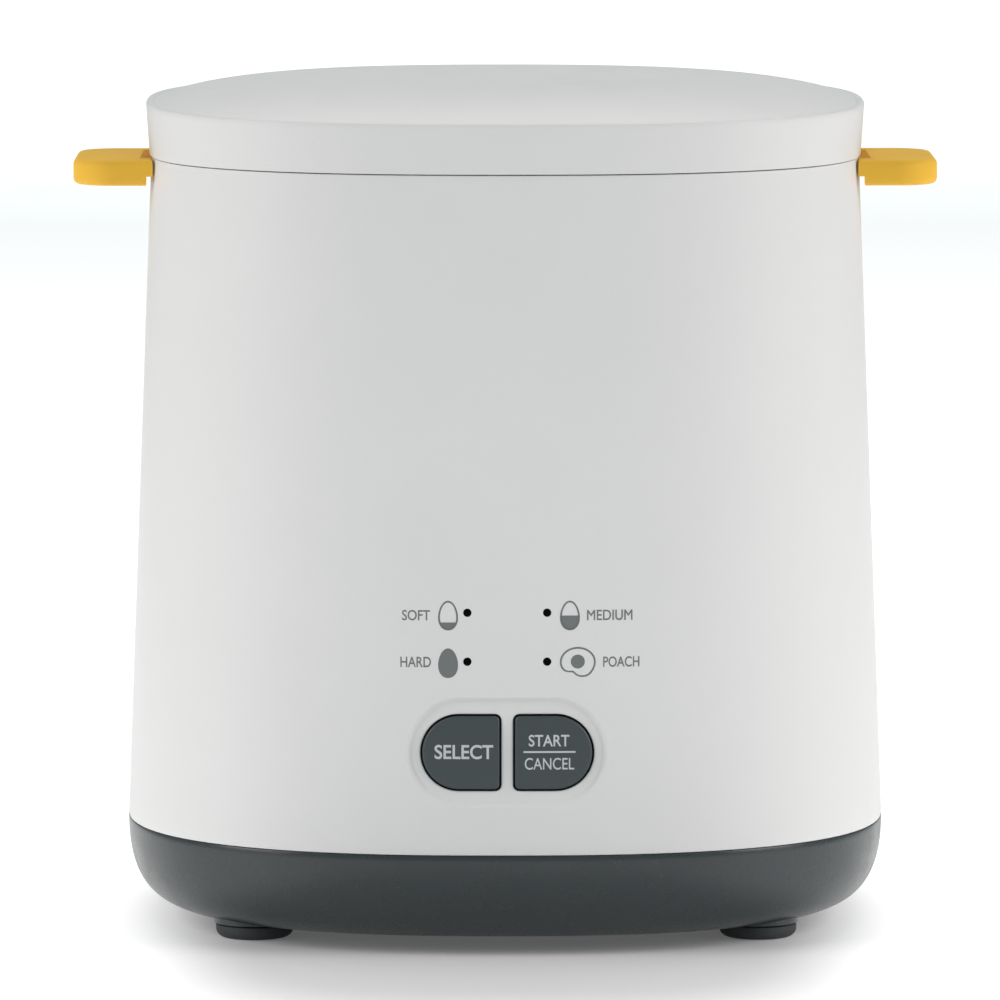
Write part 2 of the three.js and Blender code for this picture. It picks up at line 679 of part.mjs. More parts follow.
function heatShield() {
  const { floor, flangeTop, flange, sheet, pinHole } = SHIELD;
  const pan = turned([
    [0, floor],
    [55, floor],
    [58.4, floor + 3],
    [58.8, flangeTop - flange],
    [DISH.flangeRadius, flangeTop - flange],
    [DISH.flangeRadius, flangeTop],
    [57.6, flangeTop],
    [57.2, floor + 3.6],
    [54.4, floor + sheet],
    [0, floor + sheet],
  ], 24);
  const pinHoles = sides.map((side) => rod(pinHole, floor - 1, floor + sheet + 1, ...pinSpot(side)));
  return cut(pan, [...pinHoles, ...atDishScrews((x, y) => rod(DISH_SCREW.hole, floor, flangeTop + 1, x, y))]);
}

// ---- Power supply in the base ----

const componentFoot = POWER_BOARD.bottom + POWER_BOARD.thickness + GAP;

function powerBoard() {
  const [halfX, halfY] = [POWER_BOARD.width / 2, POWER_BOARD.depth / 2];
  const board = block(
    [-halfX, POWER_BOARD.y - halfY, POWER_BOARD.bottom],
    [halfX, POWER_BOARD.y + halfY, POWER_BOARD.bottom + POWER_BOARD.thickness],
  );
  const { hole, screwX, y } = POWER_BOARD;
  return cut(board, sides.map((side) => rod(hole, 0, 20, side * screwX, y)));
}

// A box on the power board, from its middle and its size.
function component(x, y, width, depth, height) {
  const [halfX, halfY] = [width / 2, depth / 2];
  return block([x - halfX, y - halfY, componentFoot], [x + halfX, y + halfY, componentFoot + height]);
}

function terminalBlock() {
  const body = component(0, 33, 26, 11, 11);
  const wireWays = [-6.5, 6.5].map((x) => rod(2, componentFoot + 5, 40, x, 33));
  return cut(body, wireWays);
}

function cordGland() {
  const tube = rodAlongY(GLAND.tube, GLAND.inner, GLAND.outer, GLAND.height);
  const flange = rodAlongY(GLAND.flange, GLAND.seat, GLAND.outer, GLAND.height);
  return union([tube, flange]).subtract(rodAlongY(GLAND.bore, 60, 90, GLAND.height));
}

// A lead from an element pin down to the terminal block.
function heaterLead(side) {
  const [x, y] = pinSpot(side);
  const route = [
    [x, y, ELEMENT.pinBottom - GAP],
    [x, y, 54],
    [side * 12, 37, 44],
    [side * 8, 34, 35],
    [side * 6.5, 33, 28],
    [side * 6.5, 33, componentFoot + 6],
  ];
  return swept(circleSection(1.4), route, 14);
}

function ribbonCable() {
  const thickness = 1;
  const width = 16;
  const section = new THREE.Shape([
    point(-width / 2, -thickness / 2),
    point(width / 2, -thickness / 2),
    point(width / 2, thickness / 2),
    point(-width / 2, thickness / 2),
  ]);
  const route = [[0, -60, 42], [0, -56, 34], [0, -44, 22], [0, -26, 17.5], [0, -3.4, 16.5]];
  return swept(section, route, 14);
}

// ---- Lift-out egg rack and poaching tray ----

function eggSeats() {
  const ring = Array.from({ length: 6 }, (_, i) => (i * Math.PI) / 3);
  return [[0, 0], ...ring.map((angle) => [EGG_PITCH * Math.cos(angle), EGG_PITCH * Math.sin(angle)])];
}

// A handle: straight sides, a rounded outer end, and an inner end that follows the shell and is
// stepped back along its lower edge.
function gripOf(side) {
  const half = GRIP.width / 2;
  const root = GRIP.inner - 5;
  const shape = new THREE.Shape();
  shape.moveTo(side * root, -half);
  shape.lineTo(side * (GRIP.end - GRIP.corner), -half);
  shape.quadraticCurveTo(side * GRIP.end, -half, side * GRIP.end, -half + GRIP.corner + 2);
  shape.lineTo(side * GRIP.end, half - GRIP.corner - 2);
  shape.quadraticCurveTo(side * GRIP.end, half, side * (GRIP.end - GRIP.corner), half);
  shape.lineTo(side * root, half);
  const ovalBlock = (halfWidth, top) => oval([[0, 170], [halfWidth, 170], [halfWidth, top], [0, top]], 64);
  const step = ovalBlock(GRIP.inner + GRIP.reliefReach, GRIP.bottom + GRIP.reliefHeight);
  return cut(extruded(shape, GRIP.bottom, ARM.top, 6), [ovalBlock(GRIP.inner, SHELL.top + 1), step]);
}

// A block between two distances from the middle plane, on one side of it.
function sideBlock(side, inner, outer, halfDepth, bottom, top) {
  const [x0, x1] = side > 0 ? [inner, outer] : [-outer, -inner];
  return block([x0, -halfDepth, bottom], [x1, halfDepth, top]);
}

function eggRack() {
  const plateTop = RACK.plate + RACK.thickness;
  const plate = oval([
    [0, RACK.plate],
    [RACK.halfWidth, RACK.plate],
    [RACK.halfWidth, plateTop],
    [0, plateTop],
  ]);
  const collars = eggSeats().map(([x, y]) =>
    rod(RACK.seatRadius + RACK.collar, RACK.plate, RACK.collarTop, x, y, 14),
  );
  const holes = eggSeats().map(([x, y]) => rod(RACK.seatRadius, 90, 110, x, y, 14));
  const handles = sides.flatMap((side) => [
    sideBlock(side, RACK.halfWidth - 3, ARM.outer, ARM.width / 2, RACK.plate, plateTop),
    sideBlock(side, ARM.inner, ARM.outer, ARM.width / 2, RACK.plate, ARM.top),
    sideBlock(side, ARM.inner, GRIP.root, ARM.neckWidth / 2, ARM.neckBottom, ARM.top),
    gripOf(side),
  ]);
  return cut(union([plate, ...collars]), holes).add(union(handles));
}

function poachingTray() {
  const top = TRAY.bottom + TRAY.thickness;
  const plate = oval([[0, TRAY.bottom], [TRAY.halfWidth, TRAY.bottom], [TRAY.halfWidth, top], [0, top]]);
  // The cup's curve, in shares of its radius and height.
  const cupShape = [[0, 0], [0.37, 0.02], [0.68, 0.15], [0.89, 0.42], [0.975, 0.71]];
  const bowlProfile = (radius, floor, rim) => [
    ...cupShape.map(([r, h]) => [r * radius, floor + h * (TRAY.bottom - floor)]),
    [radius, rim],
    [0, rim],
  ];
  const atCups = (shape) => atCorners(CUP.x, CUP.y, (x, y) => shape.translate([x, y, 0]));
  const bowls = atCups(turned(bowlProfile(CUP.outer, CUP.floor, top), 14));
  const hollows = atCups(turned(bowlProfile(CUP.inner, CUP.floor + CUP.wall, top + 1), 14));
  const notchHalf = ARM.neckWidth / 2 + 2 * GAP;
  const armNotch = sides.map((side) => sideBlock(side, TRAY.notchX, 100, notchHalf, 150, 180));
  return cut(union([plate, ...bowls]), [...hollows, ...armNotch]);
}

// ---- Assembly ----

addPart('body_shell', bodyShell(), 'whitePlastic');
addPart('base_housing', baseHousing(), 'slatePlastic');
addPart('lid_cover', lidCover(), 'whitePlastic');
addPart('lid_inner_panel', lidInnerPanel(), 'linerPlastic');
addControls();

addPart('chamber_liner', chamberLiner(), 'linerPlastic');
addPart('plate_gasket', plateGasket(), 'silicone');
addPart('heating_plate', heatingPlate(), 'steel');
addPart('heating_element', heatingElement(), 'steel');
addPart('thermostat', thermostat(), 'blackPlastic');
addPart('thermal_fuse', thermalFuse(), 'steel');
addPart('heat_shield', heatShield(), 'aluminium');
const dishScrews = atDishScrews((x, y) => {
  const headTop = SHIELD.flangeTop - SHIELD.flange - GAP;
  const tip = LINER.floorTop - 1.2;
  return screwUp(x, y, headTop, tip, DISH_SCREW.head, DISH_SCREW.headHeight, DISH_SCREW.shank);
});
dishScrews.forEach((screw, i) => addPart(`plate_screw_${i + 1}`, screw, 'steel'));

addPart('power_board', powerBoard(), 'circuitBoard');
addPart('relay', component(-26, 10, 20, 16, 15.5), 'blackPlastic');
addPart('filter_capacitor', component(24, 9, 18, 9, 13), 'yellowPlastic');
addPart('terminal_block', terminalBlock(), 'whitePlastic');
for (const side of sides) {
  const place = side < 0 ? 'left' : 'right';
  const shankLength = 6.5;
  const screw = smallScrew(0, 0, 0, shankLength).rotate([180, 0, 0]);
  const screwSpot = [side * POWER_BOARD.screwX, POWER_BOARD.y, componentFoot];
  addPart(`power_board_screw_${place}`, screw.translate(screwSpot), 'steel');
  addPart(`heater_lead_${place}`, heaterLead(side), 'wireJacket');
}
addPart('ribbon_cable', ribbonCable(), 'wireJacket');
addPart('cord_gland', cordGland(), 'rubber');

corners.forEach(([sx, sy], i) => {
  const foot = turned([
    [0, 0],
    [FOOT.radius - 0.6, 0],
    [FOOT.radius, 0.8],
    [FOOT.radius, FOOT.height],
    [FOOT.stemRadius, FOOT.height],
    [FOOT.stemRadius, 8],
    [0, 8],
  ], 14);
  addPart(`foot_${i + 1}`, foot.translate([sx * FOOT.x, sy * FOOT.y, 0]), 'rubber');
  const [x, y] = [sx * BASE_SCREW.x, sy * BASE_SCREW.y];
  const headTop = BASE_SCREW.seat - GAP;
  const { tip, headRadius, headHeight, shankRadius } = BASE_SCREW;
  const screw = screwUp(x, y, headTop, tip, headRadius, headHeight, shankRadius);
  addPart(`base_screw_${i + 1}`, screw, 'steel');
});

addPart('egg_rack', eggRack(), 'yellowPlastic');
addPart('poaching_tray', poachingTray(), 'blackPlastic');

export default cooker;
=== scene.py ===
"""Egg cooker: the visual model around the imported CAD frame.

The covers, controls, chamber and lift-out pieces are rebuilt here as smooth meshes on the frame's
sizes. The other parts sealed inside keep their CAD solids, with softened edges and their own
materials. Lengths are millimetres, and turn into metres where a mesh is made. The floor, lights and
camera are laid out in metres.
"""
import json
from math import atan, atan2, cos, pi, radians, sin, sqrt, tan

import bmesh
import bpy
import numpy as np
from mathutils import Matrix, Vector


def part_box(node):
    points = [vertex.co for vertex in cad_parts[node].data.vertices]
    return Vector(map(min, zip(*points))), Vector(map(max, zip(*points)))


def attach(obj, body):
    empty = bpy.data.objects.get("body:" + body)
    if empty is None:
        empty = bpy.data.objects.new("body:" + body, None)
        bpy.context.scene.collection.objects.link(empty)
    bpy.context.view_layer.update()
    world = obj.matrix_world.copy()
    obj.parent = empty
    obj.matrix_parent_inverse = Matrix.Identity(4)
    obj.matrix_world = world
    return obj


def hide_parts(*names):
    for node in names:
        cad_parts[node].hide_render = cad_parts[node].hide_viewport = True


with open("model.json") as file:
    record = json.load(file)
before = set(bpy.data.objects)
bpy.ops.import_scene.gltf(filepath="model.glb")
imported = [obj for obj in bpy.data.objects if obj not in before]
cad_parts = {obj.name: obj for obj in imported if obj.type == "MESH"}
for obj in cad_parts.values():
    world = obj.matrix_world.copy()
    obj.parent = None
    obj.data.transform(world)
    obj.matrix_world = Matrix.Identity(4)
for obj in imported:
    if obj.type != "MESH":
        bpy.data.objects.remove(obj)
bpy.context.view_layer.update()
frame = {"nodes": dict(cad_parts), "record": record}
MM = 0.001


def corner_mm(node, which):
    """A node's lowest (0) or highest (1) corner, in millimetres."""
    return np.array(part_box(node)[which]) / MM


# ---- Driving dimensions, in millimetres ----

SQUARENESS = 2.5
BASE_HALF_WIDTH, BASE_HALF_DEPTH = corner_mm("base_housing", 1)[:2]
DEPTH_RATIO = BASE_HALF_DEPTH / BASE_HALF_WIDTH
UNDERSIDE = corner_mm("base_housing", 0)[2]

BASE_TOP = 23.92
SHELL_BOTTOM = 24
SHELL_TOP = corner_mm("body_shell", 1)[2]
SHELL_TOP_HALF_WIDTH = 83.1
SHELL_WALL = 2.6
LEDGE_TOP, LEDGE_HALF_WIDTH = 170.7, 77.5

LID_BOTTOM = corner_mm("lid_cover", 0)[2]
LID_BOTTOM_HALF_WIDTH = 83.5
LID_RIM_HALF_WIDTH = corner_mm("lid_cover", 1)[0]
LID_RIM = 192.04
LID_LEAN = 0.013  # how much higher the rim stands for each millimetre to the rear
LID_WALL = 2.4
DOME_HALF_WIDTH, DOME_RISE, DOME_FULLNESS = 82.3, 4.97, 5.4

PANEL_HEIGHT = 47.6
RECESS_WIDTH, RECESS_HEIGHT, RECESS_DEPTH, RECESS_EDGE = 44.9, 24.4, 0.8, 1.0
BUTTON_INNER, BUTTON_OUTER, BUTTON_HEIGHT, BUTTON_CORNER = 1.8, 19.4, 16.75, 1.0
BUTTON_GAP = 0.45
INK = 0.02  # how far a print stands out of its face
SIGN_LINE = 0.42  # the width of the line that the egg signs are drawn with
LIGHT_X, LIGHT_ROWS, LIGHT_RADIUS = 9.1, {"upper": 32.1, "lower": 20.9}, 0.9

GRIP_END = corner_mm("egg_rack", 1)[0]
RACK_TOP = corner_mm("egg_rack", 1)[2]
RACK_PLATE = corner_mm("egg_rack", 0)[2]
TRAY_TOP = corner_mm("poaching_tray", 1)[2]
TRAY_BOTTOM = corner_mm("poaching_tray", 0)[2]

SIDES = (-1, 1)
CORNERS = ((-1, -1), (1, -1), (-1, 1), (1, 1))


def at_corners(x, y):
    """The four points at (x, y) and its mirror images."""
    return [(sx * x, sy * y) for sx, sy in CORNERS]


BASE_SCREWS = at_corners(46, 52)
FEET = at_corners(58.5, 45)
LID_STUDS = at_corners(46, 40)
TRAY_CUPS = at_corners(33, 29)
PLATE_SCREWS = at_corners(63 * sqrt(0.5), 63 * sqrt(0.5))
EGG_PITCH = 46
EGG_SEATS = [(0, 0)] + [(EGG_PITCH * cos(i * pi / 3), EGG_PITCH * sin(i * pi / 3)) for i in range(6)]
STEAM_XS = (-16, 0, 16)
GLAND_HEIGHT = 14.4


# ---- The oval plan and the control panel's own frame ----


def shell_half_width(z):
    """The half-width of the shell's outside at height z."""
    share = (z - SHELL_BOTTOM) / (SHELL_TOP - SHELL_BOTTOM)
    return BASE_HALF_WIDTH + (SHELL_TOP_HALF_WIDTH - BASE_HALF_WIDTH) * share


def oval_points(half_width, angle):
    """Points of the oval plan. The angle is taken on the outline before its depth is scaled."""
    c, s = np.cos(angle), np.sin(angle)
    stretch = (np.abs(c) ** SQUARENESS + np.abs(s) ** SQUARENESS) ** (-1 / SQUARENESS)
    return half_width * stretch * c, half_width * stretch * s * DEPTH_RATIO


def oval_depth(half_width, x):
    """The half-depth of the oval at x."""
    rest = np.clip(1 - np.abs(x / half_width) ** SQUARENESS, 0, 1)
    return DEPTH_RATIO * half_width * rest ** (1 / SQUARENESS)


WALL_TILT = atan(DEPTH_RATIO * (BASE_HALF_WIDTH - SHELL_TOP_HALF_WIDTH) / (SHELL_TOP - SHELL_BOTTOM))
PANEL_ORIGIN = np.array([0, -DEPTH_RATIO * shell_half_width(PANEL_HEIGHT), PANEL_HEIGHT])
PANEL_UP = np.array([0, sin(WALL_TILT), cos(WALL_TILT)])
PANEL_OUT = np.array([0, -cos(WALL_TILT), sin(WALL_TILT)])


def panel_to_world(x, y, out):
    """Panel coordinates (right, up along the wall, out of it) as points."""
    x, y, out = np.broadcast_arrays(x, y, out)
    points = PANEL_ORIGIN + y[..., None] * PANEL_UP + out[..., None] * PANEL_OUT
    points[..., 0] += x
    return points


def world_to_panel(points):
    return points[..., 0], (points - PANEL_ORIGIN) @ PANEL_UP


def panel_surface(x, y, inset=0):
    """How far out of the panel plane the shell's plain surface lies, moved in by an inset."""
    out = np.zeros(np.broadcast(x, y).shape)
    for _ in range(4):
        points = panel_to_world(x, y, out)
        wall = -oval_depth(shell_half_width(points[..., 2]) - inset, points[..., 0])
        out = out + (points[..., 1] - wall)
    return out


# ---- Signed distances of outlines in a plane, negative inside ----


def circle_distance(cx, cy, radius):
    return lambda x, y: np.hypot(x - cx, y - cy) - radius


def pill_distance(cx, cy, width, height):
    half = (width - height) / 2
    return lambda x, y: np.hypot(np.maximum(np.abs(x - cx) - half, 0), y - cy) - height / 2


def button_distance(side):
    """A button's outline: a half-round outer side and a straight inner one with small corners."""
    half, centre = BUTTON_HEIGHT / 2, BUTTON_OUTER - BUTTON_HEIGHT / 2

    def distance(x, y):
        across = side * x
        qx = BUTTON_INNER + BUTTON_CORNER - across
        qy = np.abs(y) - (half - BUTTON_CORNER)
        straight = np.hypot(np.maximum(qx, 0), np.maximum(qy, 0))
        straight = straight + np.minimum(np.maximum(qx, qy), 0) - BUTTON_CORNER
        return np.where(across > centre, np.hypot(across - centre, y) - half, straight)

    return distance


def slope_of(distance, x, y):
    """The outward direction of a signed distance."""
    step = 1e-3
    gx = distance(x + step, y) - distance(x - step, y)
    gy = distance(x, y + step) - distance(x, y - step)
    length = np.maximum(np.hypot(gx, gy), 1e-9)
    return gx / length, gy / length


def onto_outline(distance, x, y, offset):
    """Moves points to where the distance equals the offset."""
    for _ in range(8):
        gx, gy = slope_of(distance, x, y)
        error = distance(x, y) - offset
        x, y = x - error * gx, y - error * gy
    return x, y


def recess_depth(x, y):
    """The button recess, with a soft edge."""
    inside = -pill_distance(0, 0, RECESS_WIDTH, RECESS_HEIGHT)(x, y)
    share = np.clip(inside / RECESS_EDGE + 0.5, 0, 1)
    return RECESS_DEPTH * share * share * (3 - 2 * share)


# ---- Mesh helpers ----


def new_object(name, vertices, faces, materials, sharp_angle=35, shades=None):
    """An object from millimetre vertices, with its faces turned outwards."""
    mesh = bpy.data.meshes.new(name)
    mesh.from_pydata((np.asarray(vertices, float) * MM).tolist(), [], faces)
    for material in materials:
        mesh.materials.append(material)
    if shades:
        mesh.polygons.foreach_set("material_index", shades)
    tidy(mesh, sharp_angle)
    return linked(name, mesh)


def linked(name, mesh):
    piece = bpy.data.objects.new(name, mesh)
    bpy.context.scene.collection.objects.link(piece)
    return piece


def coordinates(mesh):
    flat = np.empty(len(mesh.vertices) * 3)
    mesh.vertices.foreach_get("co", flat)
    return flat.reshape(-1, 3)


def tidy(mesh, sharp_angle=35, weld=1e-6):
    """Welds doubled vertices, drops loose ones, turns the faces outwards and shades them smooth."""
    bm = bmesh.new()
    bm.from_mesh(mesh)
    bmesh.ops.remove_doubles(bm, verts=bm.verts, dist=weld)
    bmesh.ops.delete(bm, geom=[v for v in bm.verts if not v.link_faces], context="VERTS")
    bmesh.ops.recalc_face_normals(bm, faces=bm.faces)
    bm.to_mesh(mesh)
    bm.free()
    mesh.shade_smooth()
    mesh.set_sharp_from_angle(angle=radians(sharp_angle))


def softened(corners, steps=4):
    """Points along an outline of (x, y, radius) corners, each turned into an arc of its radius."""
    points = []
    count = len(corners)
    for i, (x, y, radius) in enumerate(corners):
        here = np.array([x, y], float)
        if radius <= 0:
            points.append(here)
            continue
        back = np.array(corners[i - 1][:2], float) - here
        ahead = np.array(corners[(i + 1) % count][:2], float) - here
        back, ahead = back / np.linalg.norm(back), ahead / np.linalg.norm(ahead)
        half = np.arccos(np.clip(back @ ahead, -1, 1)) / 2
        middle = (back + ahead) / np.linalg.norm(back + ahead)
        centre = here + middle * radius / sin(half)
        start = here + back * radius / tan(half) - centre
        end = here + ahead * radius / tan(half) - centre
        turn = atan2(start[0] * end[1] - start[1] * end[0], start @ end)
        for k in range(steps + 1):
            a = turn * k / steps
            spin = np.array([start[0] * cos(a) - start[1] * sin(a), start[0] * sin(a) + start[1] * cos(a)])
            points.append(centre + spin)
    return points


def revolved(name, profile, materials, oval=False, segments=96, centre=(0, 0), closed=False, sharp_angle=35):
    """A solid about +Z from (radius, z) points, round or in the oval plan."""
    angles = np.linspace(0, 2 * pi, segments, endpoint=False)
    vertices, rings = [], []
    for radius, z in profile:
        if radius < 1e-6:
            rings.append([len(vertices)])
            vertices.append((centre[0], centre[1], z))
            continue
        xs, ys = oval_points(radius, angles) if oval else (radius * np.cos(angles), radius * np.sin(angles))
        rings.append(list(range(len(vertices), len(vertices) + segments)))
        vertices += [(centre[0] + x, centre[1] + y, z) for x, y in zip(xs, ys)]
    faces = []
    pairs = list(zip(rings, rings[1:]))
    if closed:
        pairs.append((rings[-1], rings[0]))
    for lower, upper in pairs:
        if len(lower) == len(upper) == 1:
            continue
        for i in range(segments):
            j = (i + 1) % segments
            if len(lower) == 1:
                faces.append((lower[0], upper[j], upper[i]))
            elif len(upper) == 1:
                faces.append((lower[i], lower[j], upper[0]))
            else:
                faces.append((lower[i], lower[j], upper[j], upper[i]))
    return new_object(name, vertices, faces, materials, sharp_angle)


def flat_curve(name, outlines, scale=1.0):
    """A filled curve: the first outline is its edge and the others are holes."""
    curve = bpy.data.curves.new(name, "CURVE")
    curve.dimensions = "2D"
    curve.fill_mode = "BOTH"
    for outline in outlines:
        spline = curve.splines.new("POLY")
        spline.points.add(len(outline) - 1)
        for point, (x, y) in zip(spline.points, outline):
            point.co = (x * scale, y * scale, 0, 1)
        spline.use_cyclic_u = True
    return curve


def curve_mesh(curve, materials):
    """The mesh of a curve or a text."""
    source = linked(curve.name + "_outline", curve)
    bpy.context.view_layer.update()
    mesh = bpy.data.meshes.new_from_object(source.evaluated_get(bpy.context.evaluated_depsgraph_get()))
    bpy.data.objects.remove(source)
    mesh.materials.clear()
    for material in materials:
        mesh.materials.append(material)
    return mesh


def slab(name, outlines, bottom, top, bevel, materials):
    """A flat piece with softened edges, from outlines as in flat_curve."""
    curve = flat_curve(name, outlines, MM)
    curve.extrude = (top - bottom) / 2 * MM - bevel * MM
    curve.bevel_depth = bevel * MM
    curve.bevel_resolution = 2
    curve.offset = -bevel * MM
    mesh = curve_mesh(curve, materials)
    mesh.transform(Matrix.Translation((0, 0, (bottom + top) / 2 * MM)))
    tidy(mesh, 30)
    return linked(name, mesh)


def joined(name, parts):
    """Joins pieces that are one moulding, keeping the first one's materials in order."""
    slots = []
    for part in parts:
        slots += [m for m in part.data.materials if m not in slots]
    bm = bmesh.new()
    for part in parts:
        start = len(bm.faces)
        indices = [slots.index(m) for m in part.data.materials]
        bm.from_mesh(part.data)
        bm.faces.ensure_lookup_table()
        for face in bm.faces[start:]:
            face.material_index = indices[face.material_index]
        bpy.data.objects.remove(part)
    mesh = bpy.data.meshes.new(name)
    bm.to_mesh(mesh)
    bm.free()
    for material in slots:
        mesh.materials.append(material)
    return linked(name, mesh)


def applied(piece, sharp_angle=35):
    """Applies the piece's modifiers to its mesh."""
    bpy.context.view_layer.update()
    evaluated = piece.evaluated_get(bpy.context.evaluated_depsgraph_get())
    mesh = bpy.data.meshes.new_from_object(evaluated)
    piece.modifiers.clear()
    piece.data = mesh
    tidy(mesh, sharp_angle)
    return piece


def carved(piece, cutters, sharp_angle=35):
    """Cuts the cutters out of a piece and removes them."""
    for cutter in cutters:
        cut = piece.modifiers.new(cutter.name, "BOOLEAN")
        cut.operation = "DIFFERENCE"
        cut.solver = "EXACT"
        cut.object = cutter
    applied(piece, sharp_angle)
    for cutter in cutters:
        bpy.data.objects.remove(cutter)
    return piece


def circle_outline(radius, cx=0, cy=0, count=64):
    turns = [2 * pi * i / count for i in range(count)]
    return [(cx + radius * cos(turn), cy + radius * sin(turn)) for turn in turns]


def bezier(p0, p1, p2, p3, steps):
    """Points of a cubic curve, both ends included."""
    p0, p1, p2, p3 = (np.array(p, float) for p in (p0, p1, p2, p3))
    points = []
    for t in np.linspace(0, 1, steps + 1):
        ends = (1 - t) ** 3 * p0 + t**3 * p3
        middles = 3 * t * (1 - t) ** 2 * p1 + 3 * t * t * (1 - t) * p2
        points.append(tuple(ends + middles))
    return points


def oval_outline(half_width, count=160):
    xs, ys = oval_points(half_width, np.linspace(0, 2 * pi, count, endpoint=False))
    return list(zip(xs, ys))


# ---- Walls with openings: a grid of rows and columns whose inside mirrors its outside ----


def stepped(*stops):
    """Values through (start, step) pairs: each step holds up to the next start, and the last one ends it."""
    values = []
    for (start, step), (end, _) in zip(stops, stops[1:]):
        count = max(1, round((end - start) / step))
        values += [start + (end - start) * k / count for k in range(count)]
    return values + [stops[-1][0]]


def outline_angle(half_width, x, side):
    """The plan angle of the point at x on the front (-1) or rear (1) of the oval."""
    across = x / half_width
    return atan2(side * (1 - abs(across) ** SQUARENESS) ** (1 / SQUARENESS), across) % (2 * pi)


def side_angle(half_width, y):
    """The plan angle of the point at y on the right of the oval."""
    across = y / (half_width * DEPTH_RATIO)
    return atan2(across, (1 - abs(across) ** SQUARENESS) ** (1 / SQUARENESS))


def wall_angles(fixed, gap=radians(3)):
    """Column angles: the fixed ones, with every wider gap between them filled evenly."""
    fixed = sorted(a % (2 * pi) for a in fixed)
    angles = []
    for here, after in zip(fixed, fixed[1:] + [fixed[0] + 2 * pi]):
        pieces = max(1, int(np.ceil((after - here) / gap)))
        angles += [(here + (after - here) * k / pieces) % (2 * pi) for k in range(pieces)]
    return np.array(sorted(angles))


class Wall:
    """A closed profile swept round the oval, with openings cut through its two faces.

    outer rises, inner holds as many rows facing it, and rest joins their tops. The profile's last
    point joins back to its first.
    """

    def __init__(self, outer, rest, inner, angles):
        self.outer_count = len(outer)
        self.angles = angles
        rows = outer + rest + inner[::-1]
        rings = [np.stack([*oval_points(r, angles), np.full(len(angles), z)], -1) for r, z in rows]
        self.grid = np.array(rings)
        self.extra, self.faces, self.painted_shade_faces = [], [], []
        self.dropped = np.zeros(self.grid.shape[:2], bool)

    def index(self, row, column):
        return row * len(self.angles) + column % len(self.angles)

    def mate(self, row):
        """The inner row that faces an outer one."""
        return len(self.grid) - 1 - row

    def cut(self, distance, to_plane, from_plane, side, fillet):
        """Opens an outline through the front (-1) or rear (1) of the wall, with a rounded outer edge.

        to_plane gives the plane coordinates of points, and from_plane(x, y, depth) turns them back,
        where a depth of None means the inner face.
        """
        outer = self.grid[: self.outer_count]
        corners = outer[:-1, :-1] + outer[1:, :-1] + outer[:-1, 1:] + outer[1:, 1:]
        centres = corners / 4
        x, y = to_plane(centres)
        inside = (distance(x, y) < fillet + 0.1) & (centres[..., 1] * side > 0)
        cells = {(int(row), int(column)) for row, column in np.argwhere(inside)}
        edges = []
        for row, column in sorted(cells):
            self.dropped[row, column] = True
            self.dropped[self.mate(row) - 1, column] = True
            a, b, c, d = (row, column), (row, column + 1), (row + 1, column + 1), (row + 1, column)
            around = (
                ((row, column - 1), d, a),
                ((row - 1, column), a, b),
                ((row, column + 1), b, c),
                ((row + 1, column), c, d),
            )
            edges += [(start, end) for neighbour, start, end in around if neighbour not in cells]
        self.line_opening(edges, distance, to_plane, from_plane, fillet)

    def line_opening(self, edges, distance, to_plane, from_plane, fillet):
        """Moves the opening's edge onto the outline and closes the gap between the two faces."""
        spots = sorted({spot for edge in edges for spot in edge})
        rows, columns = np.array(spots).T
        x, y = onto_outline(distance, *to_plane(self.grid[rows, columns]), 0)
        gx, gy = slope_of(distance, x, y)
        rings = []
        for turn in (0, pi / 6, pi / 3, pi / 2):
            offset, depth = fillet * (1 - sin(turn)), fillet * (1 - cos(turn))
            rings.append(from_plane(x + offset * gx, y + offset * gy, depth))
        self.grid[rows, columns] = rings[0]
        self.grid[self.mate(rows), columns] = from_plane(x, y, None)
        chains = {}
        first = self.grid.shape[0] * self.grid.shape[1] + len(self.extra)
        for i, (row, column) in enumerate(spots):
            middle = [first + i * (len(rings) - 1) + k for k in range(len(rings) - 1)]
            self.extra += [ring[i] for ring in rings[1:]]
            chains[row, column] = [self.index(row, column), *middle, self.index(self.mate(row), column)]
        for start, end in edges:
            here, there = chains[start], chains[end]
            quads = [(here[k], there[k], there[k + 1], here[k + 1]) for k in range(len(here) - 1)]
            self.faces += quads[:-1]
            # the opening's side takes the wall's last material, which on the shell is painted shade
            self.painted_shade_faces.append(quads[-1])

    def notch(self, start_angle, end_angle, row):
        """Drops the rim above a row between two of the columns, and closes the cut."""
        count = len(self.angles)
        start = int(np.argmin(np.abs(self.angles - start_angle % (2 * pi))))
        end = int(np.argmin(np.abs(self.angles - end_angle % (2 * pi))))
        end += count if end < start else 0
        top = self.mate(row)
        for column in range(start, end):
            self.dropped[row:top, column % count] = True
            low, high = self.index(row, column), self.index(row, column + 1)
            self.faces.append((low, high, self.index(top, column + 1), self.index(top, column)))
        for column in (start, end):
            self.faces.append(tuple(self.index(k, column) for k in range(row, top + 1)))

    def build(self, name, materials):
        """The wall as an object. A second material, painted shade, goes on the sides of its openings."""
        for row, column in np.argwhere(~self.dropped):
            above = (row + 1) % len(self.grid)
            low = (self.index(row, column), self.index(row, column + 1))
            high = (self.index(above, column + 1), self.index(above, column))
            self.faces.append((int(low[0]), int(low[1]), int(high[0]), int(high[1])))
        vertices = np.concatenate([self.grid.reshape(-1, 3), np.array(self.extra).reshape(-1, 3)])
        shades = [0] * len(self.faces) + [len(materials) - 1] * len(self.painted_shade_faces)
        return new_object(name, vertices, self.faces + self.painted_shade_faces, materials, 40, shades)


# ---- Materials ----


def fill(node, values):
    """Sets a node's inputs by name."""
    for name, value in values.items():
        node.inputs[name].default_value = value


